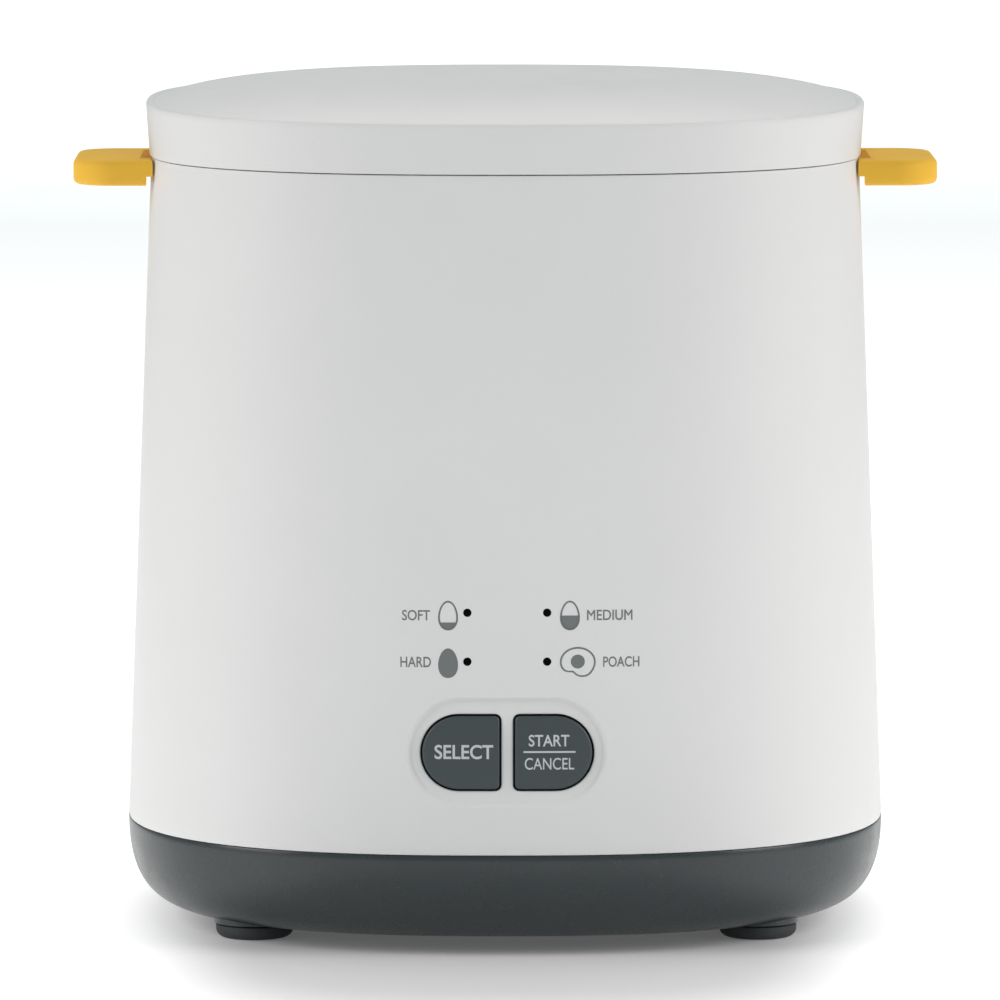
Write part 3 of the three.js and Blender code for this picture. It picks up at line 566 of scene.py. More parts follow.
class Nodes:
    """A material's node tree, with a shader ready in it."""

    def __init__(self, name, roughness, metallic=0.0):
        self.material = bpy.data.materials.new(name)
        self.material.use_nodes = True
        self.tree = self.material.node_tree
        self.shader = self.tree.nodes["Principled BSDF"]
        fill(self.shader, {"Roughness": roughness, "Metallic": metallic})
        self.place = self.tree.nodes.new("ShaderNodeTexCoord").outputs["Object"]

    def add(self, kind, inputs=None, **settings):
        node = self.tree.nodes.new("ShaderNode" + kind)
        for key, value in settings.items():
            setattr(node, key, value)
        fill(node, inputs or {})
        return node

    def link(self, output, socket):
        self.tree.links.new(output, socket)

    def maths(self, operation, *values):
        node = self.add("Math", operation=operation)
        for value, socket in zip(values, node.inputs):
            self.link(value, socket)
        return node.outputs["Value"]

    def power(self, value, exponent):
        raised = self.maths("POWER", value)
        raised.node.inputs[1].default_value = exponent
        return raised

    def noise(self, scale, detail=2.0, stretch=(1, 1, 1)):
        """Noise whose scale is in features per metre."""
        mapping = self.add("Mapping", {"Scale": stretch})
        self.link(self.place, mapping.inputs["Vector"])
        noise = self.add("TexNoise", {"Scale": scale, "Detail": detail})
        self.link(mapping.outputs["Vector"], noise.inputs["Vector"])
        return noise.outputs["Fac"]

    def ramp(self, value, start, end, low, high, kind="LINEAR", clamp=True):
        """Runs from low to high as the value goes from start to end."""
        bounds = {"From Min": start, "From Max": end, "To Min": low, "To Max": high}
        node = self.add("MapRange", bounds, interpolation_type=kind, clamp=clamp)
        self.link(value, node.inputs["Value"])
        return node.outputs["Result"]

    def spread(self, value, low, high):
        """The middle of a noise's range, stretched to run from low to high."""
        return self.ramp(value, 0.3, 0.7, low, high)

    def colour(self, value, low, high):
        ramp = self.add("ValToRGB")
        ramp.color_ramp.elements[0].color = (*low, 1)
        ramp.color_ramp.elements[1].color = (*high, 1)
        self.link(value, ramp.inputs["Fac"])
        self.link(ramp.outputs["Color"], self.shader.inputs["Base Color"])

    def bump(self, value, depth):
        """Raises the surface by the value times a depth in millimetres."""
        bump = self.add("Bump", {"Distance": depth * MM})
        self.link(value, bump.inputs["Height"])
        self.link(bump.outputs["Normal"], self.shader.inputs["Normal"])


def shade(colour, factor):
    return tuple(min(1, channel * factor) for channel in colour)


def moulded(name, colour, roughness, grain=2200, depth=0.004, tone=0.03):
    """Moulded plastic: a fine grain, and faint flow marks in its gloss and colour."""
    nodes = Nodes(name, roughness)
    flow = nodes.noise(34, 3)
    nodes.colour(nodes.spread(flow, 0, 1), shade(colour, 1 - tone), shade(colour, 1 + tone))
    gloss = nodes.spread(nodes.noise(130, 4), roughness - 0.04, roughness + 0.04)
    nodes.link(gloss, nodes.shader.inputs["Roughness"])
    nodes.bump(nodes.noise(grain, 3), depth)
    return nodes.material


def tuned(material, values):
    """Sets inputs of a finished material's shader."""
    fill(material.node_tree.nodes["Principled BSDF"], values)
    return material


def white_shell():
    plastic = moulded("white_shell", (0.712, 0.722, 0.716), 0.42, depth=0.003, tone=0.008)
    depth = (0.002, 0.002, 0.002)
    return tuned(plastic, {"Specular IOR Level": 0.22, "Subsurface Weight": 0.04, "Subsurface Radius": depth})


def slate_base():
    return moulded("slate_base", (0.027, 0.036, 0.039), 0.28, grain=3000, depth=0.012, tone=0.05)


def slate_button():
    return moulded("slate_button", (0.043, 0.058, 0.062), 0.46, grain=3200, depth=0.006, tone=0.04)


def amber_handle():
    plastic = moulded("amber_handle", (0.83, 0.49, 0.06), 0.5, depth=0.006, tone=0.04)
    depth = (0.003, 0.0015, 0.0005)
    return tuned(plastic, {"Specular IOR Level": 0.06, "Subsurface Weight": 0.08, "Subsurface Radius": depth})


def liner_plastic():
    return moulded("liner_plastic", (0.62, 0.64, 0.63), 0.45, tone=0.02)


def non_stick():
    """A dark coating with fine pale flecks."""
    nodes = Nodes("non_stick", 0.38)
    fleck = nodes.add("TexVoronoi", {"Scale": 900})
    nodes.link(nodes.place, fleck.inputs["Vector"])
    spot = nodes.ramp(fleck.outputs["Distance"], 0.1, 0.16, 1, 0)
    nodes.colour(spot, (0.035, 0.037, 0.039), (0.13, 0.135, 0.14))
    nodes.bump(nodes.noise(1500, 4), 0.012)
    return nodes.material


def black_plastic():
    return moulded("black_plastic", (0.02, 0.02, 0.022), 0.5, depth=0.008)


# near-black painted shade for the sides of the openings round the buttons and indicator windows
def painted_shade_gap():
    return moulded("painted_shade_gap", (0.006, 0.006, 0.007), 0.7)


def dark_rubber():
    return moulded("dark_rubber", (0.036, 0.042, 0.045), 0.7, grain=1400, depth=0.02, tone=0.12)


def pale_silicone():
    silicone = moulded("pale_silicone", (0.5, 0.52, 0.52), 0.6, grain=900, depth=0.01)
    return tuned(silicone, {"Subsurface Weight": 0.2})


def smoked_lens():
    nodes = Nodes("smoked_lens", 0.45)
    nodes.colour(nodes.noise(400, 2), (0.001, 0.001, 0.001), (0.003, 0.003, 0.003))
    nodes.shader.inputs["Specular IOR Level"].default_value = 0.03
    nodes.bump(nodes.noise(600, 2), 0.002)
    return nodes.material


def clear_led():
    return moulded("clear_led", (0.8, 0.8, 0.76), 0.15, depth=0.001)


def brushed_steel():
    """Stainless steel with fine lines along X."""
    nodes = Nodes("brushed_steel", 0.28, 1.0)
    lines = nodes.noise(260, 6, (1, 30, 30))
    nodes.colour(nodes.spread(lines, 0, 1), (0.55, 0.56, 0.57), (0.66, 0.67, 0.68))
    nodes.link(nodes.spread(lines, 0.22, 0.36), nodes.shader.inputs["Roughness"])
    nodes.bump(lines, 0.006)
    return nodes.material


def sheet_aluminium():
    nodes = Nodes("sheet_aluminium", 0.42, 1.0)
    nodes.colour(nodes.spread(nodes.noise(60, 4), 0, 1), (0.6, 0.61, 0.62), (0.72, 0.73, 0.74))
    nodes.link(nodes.spread(nodes.noise(500, 4, (1, 8, 1)), 0.34, 0.5), nodes.shader.inputs["Roughness"])
    nodes.bump(nodes.noise(700, 3), 0.01)
    return nodes.material


def circuit_board():
    """Green solder mask over copper tracks."""
    nodes = Nodes("circuit_board", 0.4)
    tracks = nodes.add("TexBrick", {
        "Scale": 160,
        "Mortar Size": 0.09,
        "Mortar Smooth": 0.2,
        "Color1": (0.012, 0.085, 0.04, 1),
        "Color2": (0.018, 0.11, 0.052, 1),
        "Mortar": (0.04, 0.21, 0.1, 1),
    })
    nodes.link(nodes.place, tracks.inputs["Vector"])
    nodes.link(tracks.outputs["Color"], nodes.shader.inputs["Base Color"])
    nodes.bump(tracks.outputs["Fac"], 0.03)
    return nodes.material


def wire_jacket():
    return moulded("wire_jacket", (0.68, 0.66, 0.6), 0.55, grain=1500, depth=0.01)


def natural_nylon():
    return moulded("natural_nylon", (0.72, 0.71, 0.66), 0.4, tone=0.02)


def film_case():
    return moulded("film_case", (0.7, 0.5, 0.08), 0.22, depth=0.004)


def grey_ink():
    return moulded("grey_ink", (0.155, 0.17, 0.17), 0.5, grain=4000, depth=0.002)


def pale_ink():
    return moulded("pale_ink", (0.52, 0.56, 0.56), 0.5, grain=4000, depth=0.002)


FINISHES = {
    "shell": white_shell(),
    "base": slate_base(),
    "liner": liner_plastic(),
    "buttons": slate_button(),
    "switches": black_plastic(),
    "handles": amber_handle(),
    "tray": non_stick(),
    "rubber": dark_rubber(),
    "silicone": pale_silicone(),
    "steel": brushed_steel(),
    "aluminium": sheet_aluminium(),
    "board": circuit_board(),
    "light": smoked_lens(),
    "led": clear_led(),
    "wire": wire_jacket(),
    "terminal": natural_nylon(),
    "capacitor": film_case(),
}
SLOT_OF = {part["node"]: part["material_slot"] for part in frame["record"]["subparts"]}
# the first of these is painted shade for the sides of the shell's openings; the two inks are print
PAINTED_SHADE_GAP, GREY_INK, PALE_INK = painted_shade_gap(), grey_ink(), pale_ink()


def stands_for(piece, node, body="root"):
    """Puts a piece in a CAD node's place, hiding the node, and on its body."""
    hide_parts(node)
    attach(piece, body)
    return piece


def finish_of(node):
    return FINISHES[SLOT_OF[node]]


# ---- Outer covers ----


def rod(name, radius, bottom, top, x=0, y=0, segments=48, materials=()):
    profile = [(0, bottom), (radius, bottom), (radius, top), (0, top)]
    return revolved(name, profile, materials, segments=segments, centre=(x, y))


def revolved_at(spots, name, profile, materials, **options):
    """The same solid at several (x, y) spots."""
    named = [(f"{name}_{i}", spot) for i, spot in enumerate(spots)]
    return [revolved(title, profile, materials, centre=spot, **options) for title, spot in named]


def rods(spots, name, radius, bottom, top, segments=48, materials=()):
    """Equal rods at several (x, y) spots."""
    named = [(f"{name}_{i}", spot) for i, spot in enumerate(spots)]
    return [rod(title, radius, bottom, top, *spot, segments, materials) for title, spot in named]


def block(name, low, high, materials=()):
    """A block between two corners, for cutting or for a rib that lies hidden."""
    vertices = [(x, y, z) for x in (low[0], high[0]) for y in (low[1], high[1]) for z in (low[2], high[2])]
    faces = [(0, 1, 3, 2), (4, 6, 7, 5), (0, 4, 5, 1), (2, 3, 7, 6), (0, 2, 6, 4), (1, 5, 7, 3)]
    return new_object(name, vertices, faces, materials)


def on_shell(x, y, depth):
    """Points under the shell's outside, or on its inside where depth is None."""
    if depth is None:
        return panel_to_world(x, y, panel_surface(x, y, SHELL_WALL))
    return panel_to_world(x, y, panel_surface(x, y) - recess_depth(x, y) - depth)


def light_spots():
    """(name, x, y) of the indicator windows on the panel."""
    names = {(-1, "upper"): "soft", (-1, "lower"): "hard", (1, "upper"): "medium", (1, "lower"): "poach"}
    return [(name, side * LIGHT_X, LIGHT_ROWS[row]) for (side, row), name in names.items()]


def body_shell():
    notch_y, notch_bottom, notch_row = 15.6, 174.8, 177
    # rows lie closest together where the recess and the indicator windows have their edges
    heights = stepped(
        (24.4, 3), (33.4, 0.4), (61.8, 1.4), (66.6, 0.4),
        (70.6, 1.4), (77.8, 0.4), (81.8, 4), (165.3, 3.4),
    )
    heights += [168.7, 170.7, 170.9, notch_bottom, notch_row]
    outer = [(shell_half_width(z), z) for z in heights]
    low, high = shell_half_width(SHELL_BOTTOM), shell_half_width(SHELL_TOP)
    outer = [(low - 0.35, SHELL_BOTTOM), (low - 0.1, SHELL_BOTTOM + 0.1)] + outer
    outer += [(high, SHELL_TOP - 0.05), (high - 0.12, SHELL_TOP + 0.07)]
    ledge = {168.7: (LEDGE_HALF_WIDTH, 168.7), 170.7: (LEDGE_HALF_WIDTH, LEDGE_TOP), 170.9: (None, LEDGE_TOP)}
    inner = []
    for _, z in outer:
        half_width, level = ledge.get(z, (None, z))
        inner.append((half_width or shell_half_width(level) - SHELL_WALL, level))

    fixed = [outline_angle(shell_half_width(PANEL_HEIGHT), x, -1) for x in stepped((-24.4, 0.4), (24.4, 0))]
    notch_angle = side_angle(shell_half_width(notch_row), notch_y)
    fixed += [notch_angle, -notch_angle, pi - notch_angle, pi + notch_angle]
    wall = Wall(outer, [], inner, wall_angles(fixed))

    face = wall.grid[: wall.outer_count]
    x, y = world_to_panel(face)
    dip = np.where(face[..., 1] < 0, recess_depth(x, y), 0)
    face -= dip[..., None] * PANEL_OUT
    for side in SIDES:
        outline = button_distance(side)
        wall.cut(lambda x, y: outline(x, y) - BUTTON_GAP, world_to_panel, on_shell, -1, 0.3)
    for _, spot_x, spot_y in light_spots():
        wall.cut(circle_distance(spot_x, spot_y, LIGHT_RADIUS + 0.06), world_to_panel, on_shell, -1, 0.12)
    row = next(i for i, (_, z) in enumerate(outer) if z == notch_bottom)
    wall.notch(-notch_angle, notch_angle, row)
    wall.notch(pi - notch_angle, pi + notch_angle, row)
    # the sides of the openings get the painted shade
    shell = wall.build("shell", [finish_of("body_shell"), PAINTED_SHADE_GAP])
    stands_for(joined("shell_body", [shell, *shell_posts()]), "body_shell")


def shell_posts():
    """The screw posts and their ribs inside the shell."""
    white = [finish_of("body_shell")]
    pieces = []
    profile = [(1.8, 14.3), (4.2, 14.3), (4.5, 14.6), (4.5, 59.5), (4, 60), (0, 60), (0, 34), (1.8, 34)]
    for i, (x, y) in enumerate(BASE_SCREWS):
        pieces.append(revolved(f"post_{i}", profile, white, segments=32, centre=(x, y), closed=True))
        outward = np.sign(y)
        near, far = sorted((y + outward * 4.3, y + outward * 20.2))
        pieces.append(block(f"rib_{i}", (x - 1.1, near, 29), (x + 1.1, far, 60), white))
    return pieces


def base_housing():
    """A bowl under the shell, with vent slots, screw seats and the gland's pocket cut into it."""
    slate = [finish_of("base_housing")]
    half, under, floor = BASE_HALF_WIDTH, UNDERSIDE, UNDERSIDE + 3
    outside = bezier((half - 16.15, under), (half - 4.2, under), (half, 10.8), (half, BASE_TOP - 0.25), 28)
    inside = bezier((84, 22), (84, 12.5), (81.5, floor), (70.5, floor), 14)
    rim = [
        (half - 0.08, BASE_TOP - 0.07), (half - 0.25, BASE_TOP), (86, BASE_TOP), (86, 27.7),
        (85.7, 28), (84.3, 28), (84, 27.7),
    ]
    profile = [(0, under), *outside, *rim, *inside, (0, floor)]
    tray = revolved("base_bowl", profile, slate, oval=True, segments=288)
    cutters = [block(f"vent_{i}", (9 * i - 1.6, -38, 0), (9 * i + 1.6, -12, 10)) for i in range(-2, 3)]
    cutters += rods(BASE_SCREWS, "screw_hole", 1.9, 0, 10, 24)
    cutters += rods(FEET, "stem_hole", 3.3, 0, 10, 32)
    cutters.append(along_y(rod("pocket", 8.2, 0, 10.2, segments=64), 79.8, GLAND_HEIGHT))
    cutters.append(along_y(rod("cord_hole", 6, 0, 40, segments=64), 60, GLAND_HEIGHT))
    carved(tray, cutters)
    boss = [(4, under), (4, 9), (1.9, 9), (1.9, 14), (5.2, 14), (5.5, 13.7), (5.5, under)]
    pad = [(3.3, under + 0.01), (3.3, 8), (9.1, 8), (9.4, 7.7), (9.4, under + 0.01)]
    board_post = [(1.1, 6), (1.1, 11.7), (3.3, 11.7), (3.5, 11.5), (3.5, 6)]
    board_spots = [(-38, 22), (38, 22)]
    pieces = [tray]
    for shape, spots in ((boss, BASE_SCREWS), (pad, FEET), (board_post, board_spots)):
        pieces += revolved_at(spots, "boss", shape, slate, segments=48, closed=True)
    stands_for(joined("base_body", pieces), "base_housing")


def along_y(piece, start, height):
    """Turns a piece made about +Z to lie along +Y from a start, at a height."""
    turn = Matrix.Rotation(-pi / 2, 4, "X")
    piece.data.transform(Matrix.Translation(Vector((0, start, height)) * MM) @ turn)
    return piece


def dome_height(half_width):
    return LID_RIM + DOME_RISE * (1 - min(1, half_width / DOME_HALF_WIDTH) ** DOME_FULLNESS)


def leaned(piece):
    """Raises the lid's upper part towards the rear and lowers it towards the front."""
    points = coordinates(piece.data) / MM
    share = np.clip((points[:, 2] - LID_BOTTOM) / (LID_RIM - LID_BOTTOM), 0, 1)
    points[:, 2] += LID_LEAN * points[:, 1] * share
    piece.data.vertices.foreach_set("co", (points * MM).ravel())
    piece.data.update()
    return piece


def lid_half_width(z):
    share = (z - LID_BOTTOM) / (LID_RIM - 0.8 - LID_BOTTOM)
    return LID_BOTTOM_HALF_WIDTH + (LID_RIM_HALF_WIDTH - LID_BOTTOM_HALF_WIDTH) * share


def on_lid(x, z, depth):
    """Points under the lid's rear outside, or on its inside where depth is None."""
    inset, depth = (LID_WALL, 0) if depth is None else (0, depth)
    return np.stack([x, oval_depth(lid_half_width(z) - inset, x) - depth, z], -1)


def lid_cover():
    """The domed lid: a flared band with a rolled rim, a fine crease and a flat-topped dome."""
    rim_radius, seam_edge = 0.5, 0.12
    bottom = LID_BOTTOM - 0.08  # the seam is a fine line
    heights = stepped((bottom + seam_edge, 1), (182.6, 0.4), (186.8, 1), (LID_RIM - rim_radius, 0))
    outer = [(LID_BOTTOM_HALF_WIDTH - seam_edge, bottom)]
    outer += [(lid_half_width(z), z) for z in heights]
    inner = [(lid_half_width(z) - LID_WALL, z) for _, z in outer]
    centre = (LID_RIM_HALF_WIDTH - rim_radius, LID_RIM - rim_radius)
    turns = np.linspace(0.15, pi / 2, 8)
    roll = [(centre[0] + rim_radius * cos(a), centre[1] + rim_radius * sin(a)) for a in turns]
    crease = [(DOME_HALF_WIDTH + 0.35, LID_RIM), (DOME_HALF_WIDTH + 0.15, LID_RIM - 0.1)]
    shares = 1 - (1 - np.linspace(0, 1, 34)) ** 1.8
    radii = DOME_HALF_WIDTH * (1 - shares[:-1] ** 2)
    dome = [(r, dome_height(r)) for r in radii]
    top = roll + crease + dome[1:] + [(0, dome_height(0))]
    under = [(r * 0.97, dome_height(r) - LID_WALL) for r, _ in dome[-1:12:-2]]
    rest = top + [(0, dome_height(0) - LID_WALL)] + under
    fixed = [outline_angle(LID_RIM_HALF_WIDTH, x, 1) for x in stepped((-22.4, 0.4), (22.4, 0))]
    wall = Wall(outer, rest, inner, wall_angles(fixed, radians(2)))
    for x in STEAM_XS:
        slot = pill_distance(x, 184.7, 10, 2.2)
        wall.cut(slot, lambda points: (points[..., 0], points[..., 2]), on_lid, 1, 0.2)
    lid = leaned(wall.build("lid_dome", [finish_of("lid_cover")]))
    stud_oval = 62  # the half-width of the oval that the studs reach out to
    stud_top = dome_height(stud_oval) - 1.2
    studs = rods(LID_STUDS, "stud", 3, 188.9, stud_top, 32, [finish_of("lid_cover")])
    stands_for(joined("lid", [lid, *studs]), "lid_cover", "lid")


def lid_inner_panel():
    """The panel under the lid, with a skirt that sits inside the shell's mouth."""
    corners = [(77.4, 187, 1), (77.4, 175.5, 0.4), (79, 175.5, 0.4), (79, 187, 0.3), (80.8, 187, 0.4)]
    profile = [(0, 187), *softened([*corners, (80.8, 188.6, 0.4)]), (0, 188.6)]
    panel = revolved("lid_panel", profile, [finish_of("lid_inner_panel")], oval=True, segments=240)
    cutters = [block("neck_notch", (-120, -16, 170), (120, 16, 180.2))]
    cutters += rods([(x, 52) for x in STEAM_XS], "steam_hole", 2.2, 180, 195)
    stands_for(carved(panel, cutters), "lid_inner_panel", "lid")


# ---- Controls ----


def button_face(x, y):
    """How far a button's face stands out of the panel plane: the shell's curve with a slight crown."""
    half_height = BUTTON_HEIGHT / 2
    return panel_surface(x, y) - 0.22 * np.clip(y / half_height, -1, 1) ** 2


def button(side, name, node, body):
    """A cap with a rounded edge, on a flange and a stem."""
    distance = button_distance(side)
    half, centre_x = BUTTON_HEIGHT / 2, BUTTON_OUTER - BUTTON_HEIGHT / 2
    inner_x, inner_y = BUTTON_INNER + BUTTON_CORNER, half - BUTTON_CORNER
    corner = np.linspace(0, pi / 2, 7)
    loop = [(centre_x + half * cos(a), half * sin(a)) for a in np.linspace(-pi / 2, pi / 2, 48)]
    loop += [(x, half) for x in np.linspace(centre_x, inner_x, 16)[1:-1]]
    loop += [(inner_x - BUTTON_CORNER * sin(a), inner_y + BUTTON_CORNER * cos(a)) for a in corner]
    loop += [(BUTTON_INNER, y) for y in np.linspace(inner_y, -inner_y, 20)[1:-1]]
    loop += [(inner_x - BUTTON_CORNER * cos(a), -inner_y - BUTTON_CORNER * sin(a)) for a in corner]
    loop += [(x, -half) for x in np.linspace(inner_x, centre_x, 16)[1:-1]]
    x, y = np.array(loop).T
    x = side * x
    edge, skirt_bottom = 0.45, -4.6
    rings = [panel_to_world(x, y, np.full(len(x), skirt_bottom))]
    for a in np.linspace(0, pi / 2, 6):
        rx, ry = onto_outline(distance, x, y, -edge * (1 - cos(a)))
        rings.append(panel_to_world(rx, ry, button_face(rx, ry) - edge * (1 - sin(a))))
    middle = side * (BUTTON_INNER + BUTTON_OUTER) / 2
    for share in (0.93, 0.8, 0.6, 0.4, 0.2, 0.0):
        sx, sy = middle + (rx - middle) * share, ry * share
        rings.append(panel_to_world(sx, sy, button_face(sx, sy)))
    count = len(x)
    faces = [tuple(range(count))]
    for ring in range(len(rings) - 1):
        for i in range(count):
            j = (i + 1) % count
            faces.append((ring * count + i, ring * count + j, (ring + 1) * count + j, (ring + 1) * count + i))
    material = [finish_of(node)]
    cap = new_object(name + "_cap", np.concatenate(rings), faces, material, 50)
    flange_outline = list(zip(*onto_outline(distance, side * np.abs(x), y, 1.1)))
    flange = onto_panel(slab(name + "_flange", [flange_outline], -6, -4.55, 0.2, material))
    stem_profile = [(0, -12.2), (1.9, -12.2), (2.2, -11.9), (2.2, -5.8), (0, -5.8)]
    stem = onto_panel(revolved(name + "_stem", stem_profile, material, segments=40, centre=(side * 10.5, 0)))
    stands_for(joined(name, [cap, flange, stem]), node, body)


def onto_panel(piece):
    """Moves a piece from the panel's coordinates (millimetres in x, y and out) to its place."""
    matrix = Matrix(((1, 0, 0), PANEL_UP, PANEL_OUT)).transposed().to_4x4()
    matrix.translation = Vector(PANEL_ORIGIN) * MM
    piece.data.transform(matrix)
    return piece


def light_pipe(name, x, y):
    """A smoked pin from the board's light to a low dome at the surface."""
    face = float(panel_surface(np.array(x), np.array(y)))
    dome = [(LIGHT_RADIUS * sin(a), face - 0.2 + 0.22 * cos(a)) for a in np.linspace(pi / 2, 0, 7)[:-1]]
    pin = [(0, -15.1), (0.75, -15.1), (0.75, -4.8), (1.5, -4.8), (1.5, -3.4), (LIGHT_RADIUS, -3.2)]
    profile = [*pin, *dome, (0, face + 0.02)]
    node = f"{name}_light_pipe"
    lens = revolved(f"{name}_lens", profile, [finish_of(node)], segments=40, centre=(x, y))
    stands_for(onto_panel(lens), node)


# ---- Printed marks ----


def refined(mesh, longest):
    """Splits the mesh until its edges are short enough to follow a curved face."""
    bm = bmesh.new()
    bm.from_mesh(mesh)
    for _ in range(6):
        long_edges = [edge for edge in bm.edges if edge.calc_length() > longest]
        if not long_edges:
            break
        bmesh.ops.subdivide_edges(bm, edges=long_edges, cuts=1)
        bmesh.ops.triangulate(bm, faces=bm.faces)
    bm.to_mesh(mesh)
    bm.free()


def printed(name, curve, face, material, fit=None):
    """A film of ink on a face, from a flat curve or text in panel millimetres.

    fit is (left, right, middle, height), which the mark is stretched to.
    """
    curve.extrude = INK
    mesh = curve_mesh(curve, [material])
    if fit:
        left, right, middle, height = fit
        x, y, lift = coordinates(mesh).T
        x = left + (x - x.min()) * (right - left) / np.ptp(x)
        y = middle + ((y - y.min()) / np.ptp(y) - 0.5) * height
        mesh.vertices.foreach_set("co", np.stack([x, y, lift], -1).ravel())
    refined(mesh, 0.7)
    x, y, lift = coordinates(mesh).T
    lift = np.clip(lift, -INK, INK)
    mesh.vertices.foreach_set("co", (panel_to_world(x, y, face(x, y) + lift) * MM).ravel())
    tidy(mesh, 30, 1e-7)
    return linked(name, mesh)


def shell_face(x, y):
    return panel_surface(x, y) - recess_depth(x, y)


def word(text, left, right, middle, height, face, material, weight=0.0):
    """A word of capitals."""
    name = "print_" + text.lower()
    curve = bpy.data.curves.new(name, "FONT")
    curve.fill_mode = "BOTH"
    curve.body = text
    curve.bevel_depth = weight
    return printed(name, curve, face, material, (left, right, middle, height))


def mark(name, outlines, material=GREY_INK, face=shell_face):
    """A filled shape, from outlines as in flat_curve."""
    return printed(name, flat_curve(name, outlines), face, material)


def egg_outline(cx, cy, width, height, inset=0.0, count=72):
    """An egg standing on its blunt end."""
    points = []
    for i in range(count):
        a = 2 * pi * i / count
        half = (width / 2 - inset) * (1 - 0.13 * sin(a) - 0.02 * cos(2 * a))
        points.append((cx + half * cos(a), cy - 0.25 + (height / 2 - inset) * sin(a)))
    return points


def poached_outline(cx, cy, width, height, inset=0.0, count=96):
    """A soft round shape with a shallow bay in its lower left."""
    points = []
    for i in range(count):
        a = 2 * pi * i / count
        bay = 0.24 * np.exp(-(((a - 1.37 * pi) / 0.36) ** 2))
        lobe = 0.08 * np.exp(-(((a - 1.68 * pi) / 0.4) ** 2))
        reach = 1 - bay + lobe
        points.append((cx + (width / 2 * reach - inset) * cos(a), cy + (height / 2 * reach - inset) * sin(a)))
    return points


def egg_mark(name, cx, cy, level):
    """An egg drawn as a line and filled up to a share of its height."""
    width, height = 4.6, 6.8
    if level >= 1:
        return [mark(name, [egg_outline(cx, cy, width, height)])]
    line_edges = [egg_outline(cx, cy, width, height), egg_outline(cx, cy, width, height, SIGN_LINE)]
    edge = mark(name + "_line", line_edges)
    top = cy - height / 2 + height * level
    inside = egg_outline(cx, cy, width, height, SIGN_LINE * 0.6)
    fill = [(x, min(y, top)) for x, y in inside]
    lower = [point for point, (_, y) in zip(fill, inside) if y <= top]
    return [edge, mark(name + "_fill", [lower])]


def panel_print():
    """The words and egg signs beside the indicator windows, printed on the shell."""
    upper, lower = LIGHT_ROWS["upper"] - 0.6, LIGHT_ROWS["lower"] - 0.1
    capital, weight = 2.4, 0.012
    words = {  # left end, right end, middle height
        "SOFT": (-24.0, -17.6, upper),
        "HARD": (-24.4, -17.4, lower),
        "MEDIUM": (18.2, 28.6, upper),
        "POACH": (21.9, 30.2, lower),
    }
    marks = [word(text, *place, capital, shell_face, GREY_INK, weight) for text, place in words.items()]
    left_sign_x, medium_x, poach_x = -13.5, 14.3, 16.1
    marks += egg_mark("sign_soft", left_sign_x, upper + 0.2, 0.24)
    marks += egg_mark("sign_medium", medium_x, upper + 0.2, 0.47)
    marks += egg_mark("sign_hard", left_sign_x, lower, 1)
    white = (poach_x, lower, 8.2, 6.9)
    marks.append(mark("sign_poach_line", [poached_outline(*white), poached_outline(*white, SIGN_LINE)]))
    marks.append(mark("sign_poach_yolk", [circle_outline(1.6, poach_x, lower + 0.1)]))
    prints = joined("panel_print", marks)
    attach(prints, "root")


def button_print():
    """The words on the two buttons."""
    select = word("SELECT", -16.6, -3.2, 0.2, 3.3, button_face, PALE_INK, 0.018)
    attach(select, "select_button")
    bar = mark("print_bar", [[(3.7, 0.0), (15.6, 0.0), (15.6, 0.4), (3.7, 0.4)]], PALE_INK, button_face)
    words = [
        word("START", 4.9, 14.2, 2.8, 2.7, button_face, PALE_INK, 0.014),
        word("CANCEL", 4.0, 15.3, -2.5, 2.7, button_face, PALE_INK, 0.004),
    ]
    start_cancel = joined("print_start_cancel", [*words, bar])
    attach(start_cancel, "start_cancel_button")


# ---- Chamber ----


def chamber_liner():
    """The oval chamber, with a round opening over the heating plate and a flange at its mouth."""
    outline = softened([
        (40, 93.6, 0), (67.4, 93.6, 4), (72.8, 98.6, 4), (75.2, 172.6, 0.8), (80.4, 172.6, 0.4),
        (80.4, 171, 0.4), (76.8, 171, 0.6), (74.4, 98, 4.5), (68, 92, 4.5), (40, 92, 0),
    ], 5)
    material = [finish_of("chamber_liner")]
    pan = revolved("liner_pan", outline, material, oval=True, segments=240, closed=True)
    bosses = rods(PLATE_SCREWS, "liner_boss", 3.2, 89.9, 93, 32, material)
    carved(pan, [rod("opening", 54, 80, 100, segments=128)])
    stands_for(joined("liner", [pan, *bosses]), "chamber_liner")


def heating_plate():
    """The shallow dish that the water is poured into."""
    profile = softened([
        (0, 80.5, 0), (45.4, 80.5, 3), (52.9, 84, 3), (53.2, 89.6, 1.2), (66.5, 89.6, 0.3), (66.5, 88.1, 0.3),
        (54.8, 88.1, 1), (54.6, 83.2, 4), (46, 79, 4), (0, 79, 0),
    ], 5)
    dish = revolved("dish", profile, [finish_of("heating_plate")], segments=144)
    stands_for(carved(dish, rods(PLATE_SCREWS, "plate_hole", 1.5, 85, 95, 20)), "heating_plate")


def plate_gasket():
    profile = softened([(55, 89.9, 0.5), (59, 89.9, 0.5), (59, 91.7, 0.5), (55, 91.7, 0.5)])
    ring = revolved("gasket", profile, [finish_of("plate_gasket")], segments=128, closed=True)
    stands_for(ring, "plate_gasket")


def heat_shield():
    profile = softened([
        (0, 67, 0), (54.4, 67, 2), (57.2, 69.6, 2), (57.6, 87.8, 0.8), (66.5, 87.8, 0.2), (66.5, 86.6, 0.2),
        (58.8, 86.6, 0.8), (58.4, 69, 2.5), (55, 66, 2.5), (0, 66, 0),
    ])
    pan = revolved("shield_pan", profile, [finish_of("heat_shield")], segments=128)
    holes = rods(PLATE_SCREWS, "shield_hole", 1.5, 80, 95, 20)
    holes += rods([(side * 15.58, 34.88) for side in SIDES], "pin_hole", 5, 60, 70, 32)
    stands_for(carved(pan, holes), "heat_shield")


# ---- Lift-out egg rack and poaching tray ----


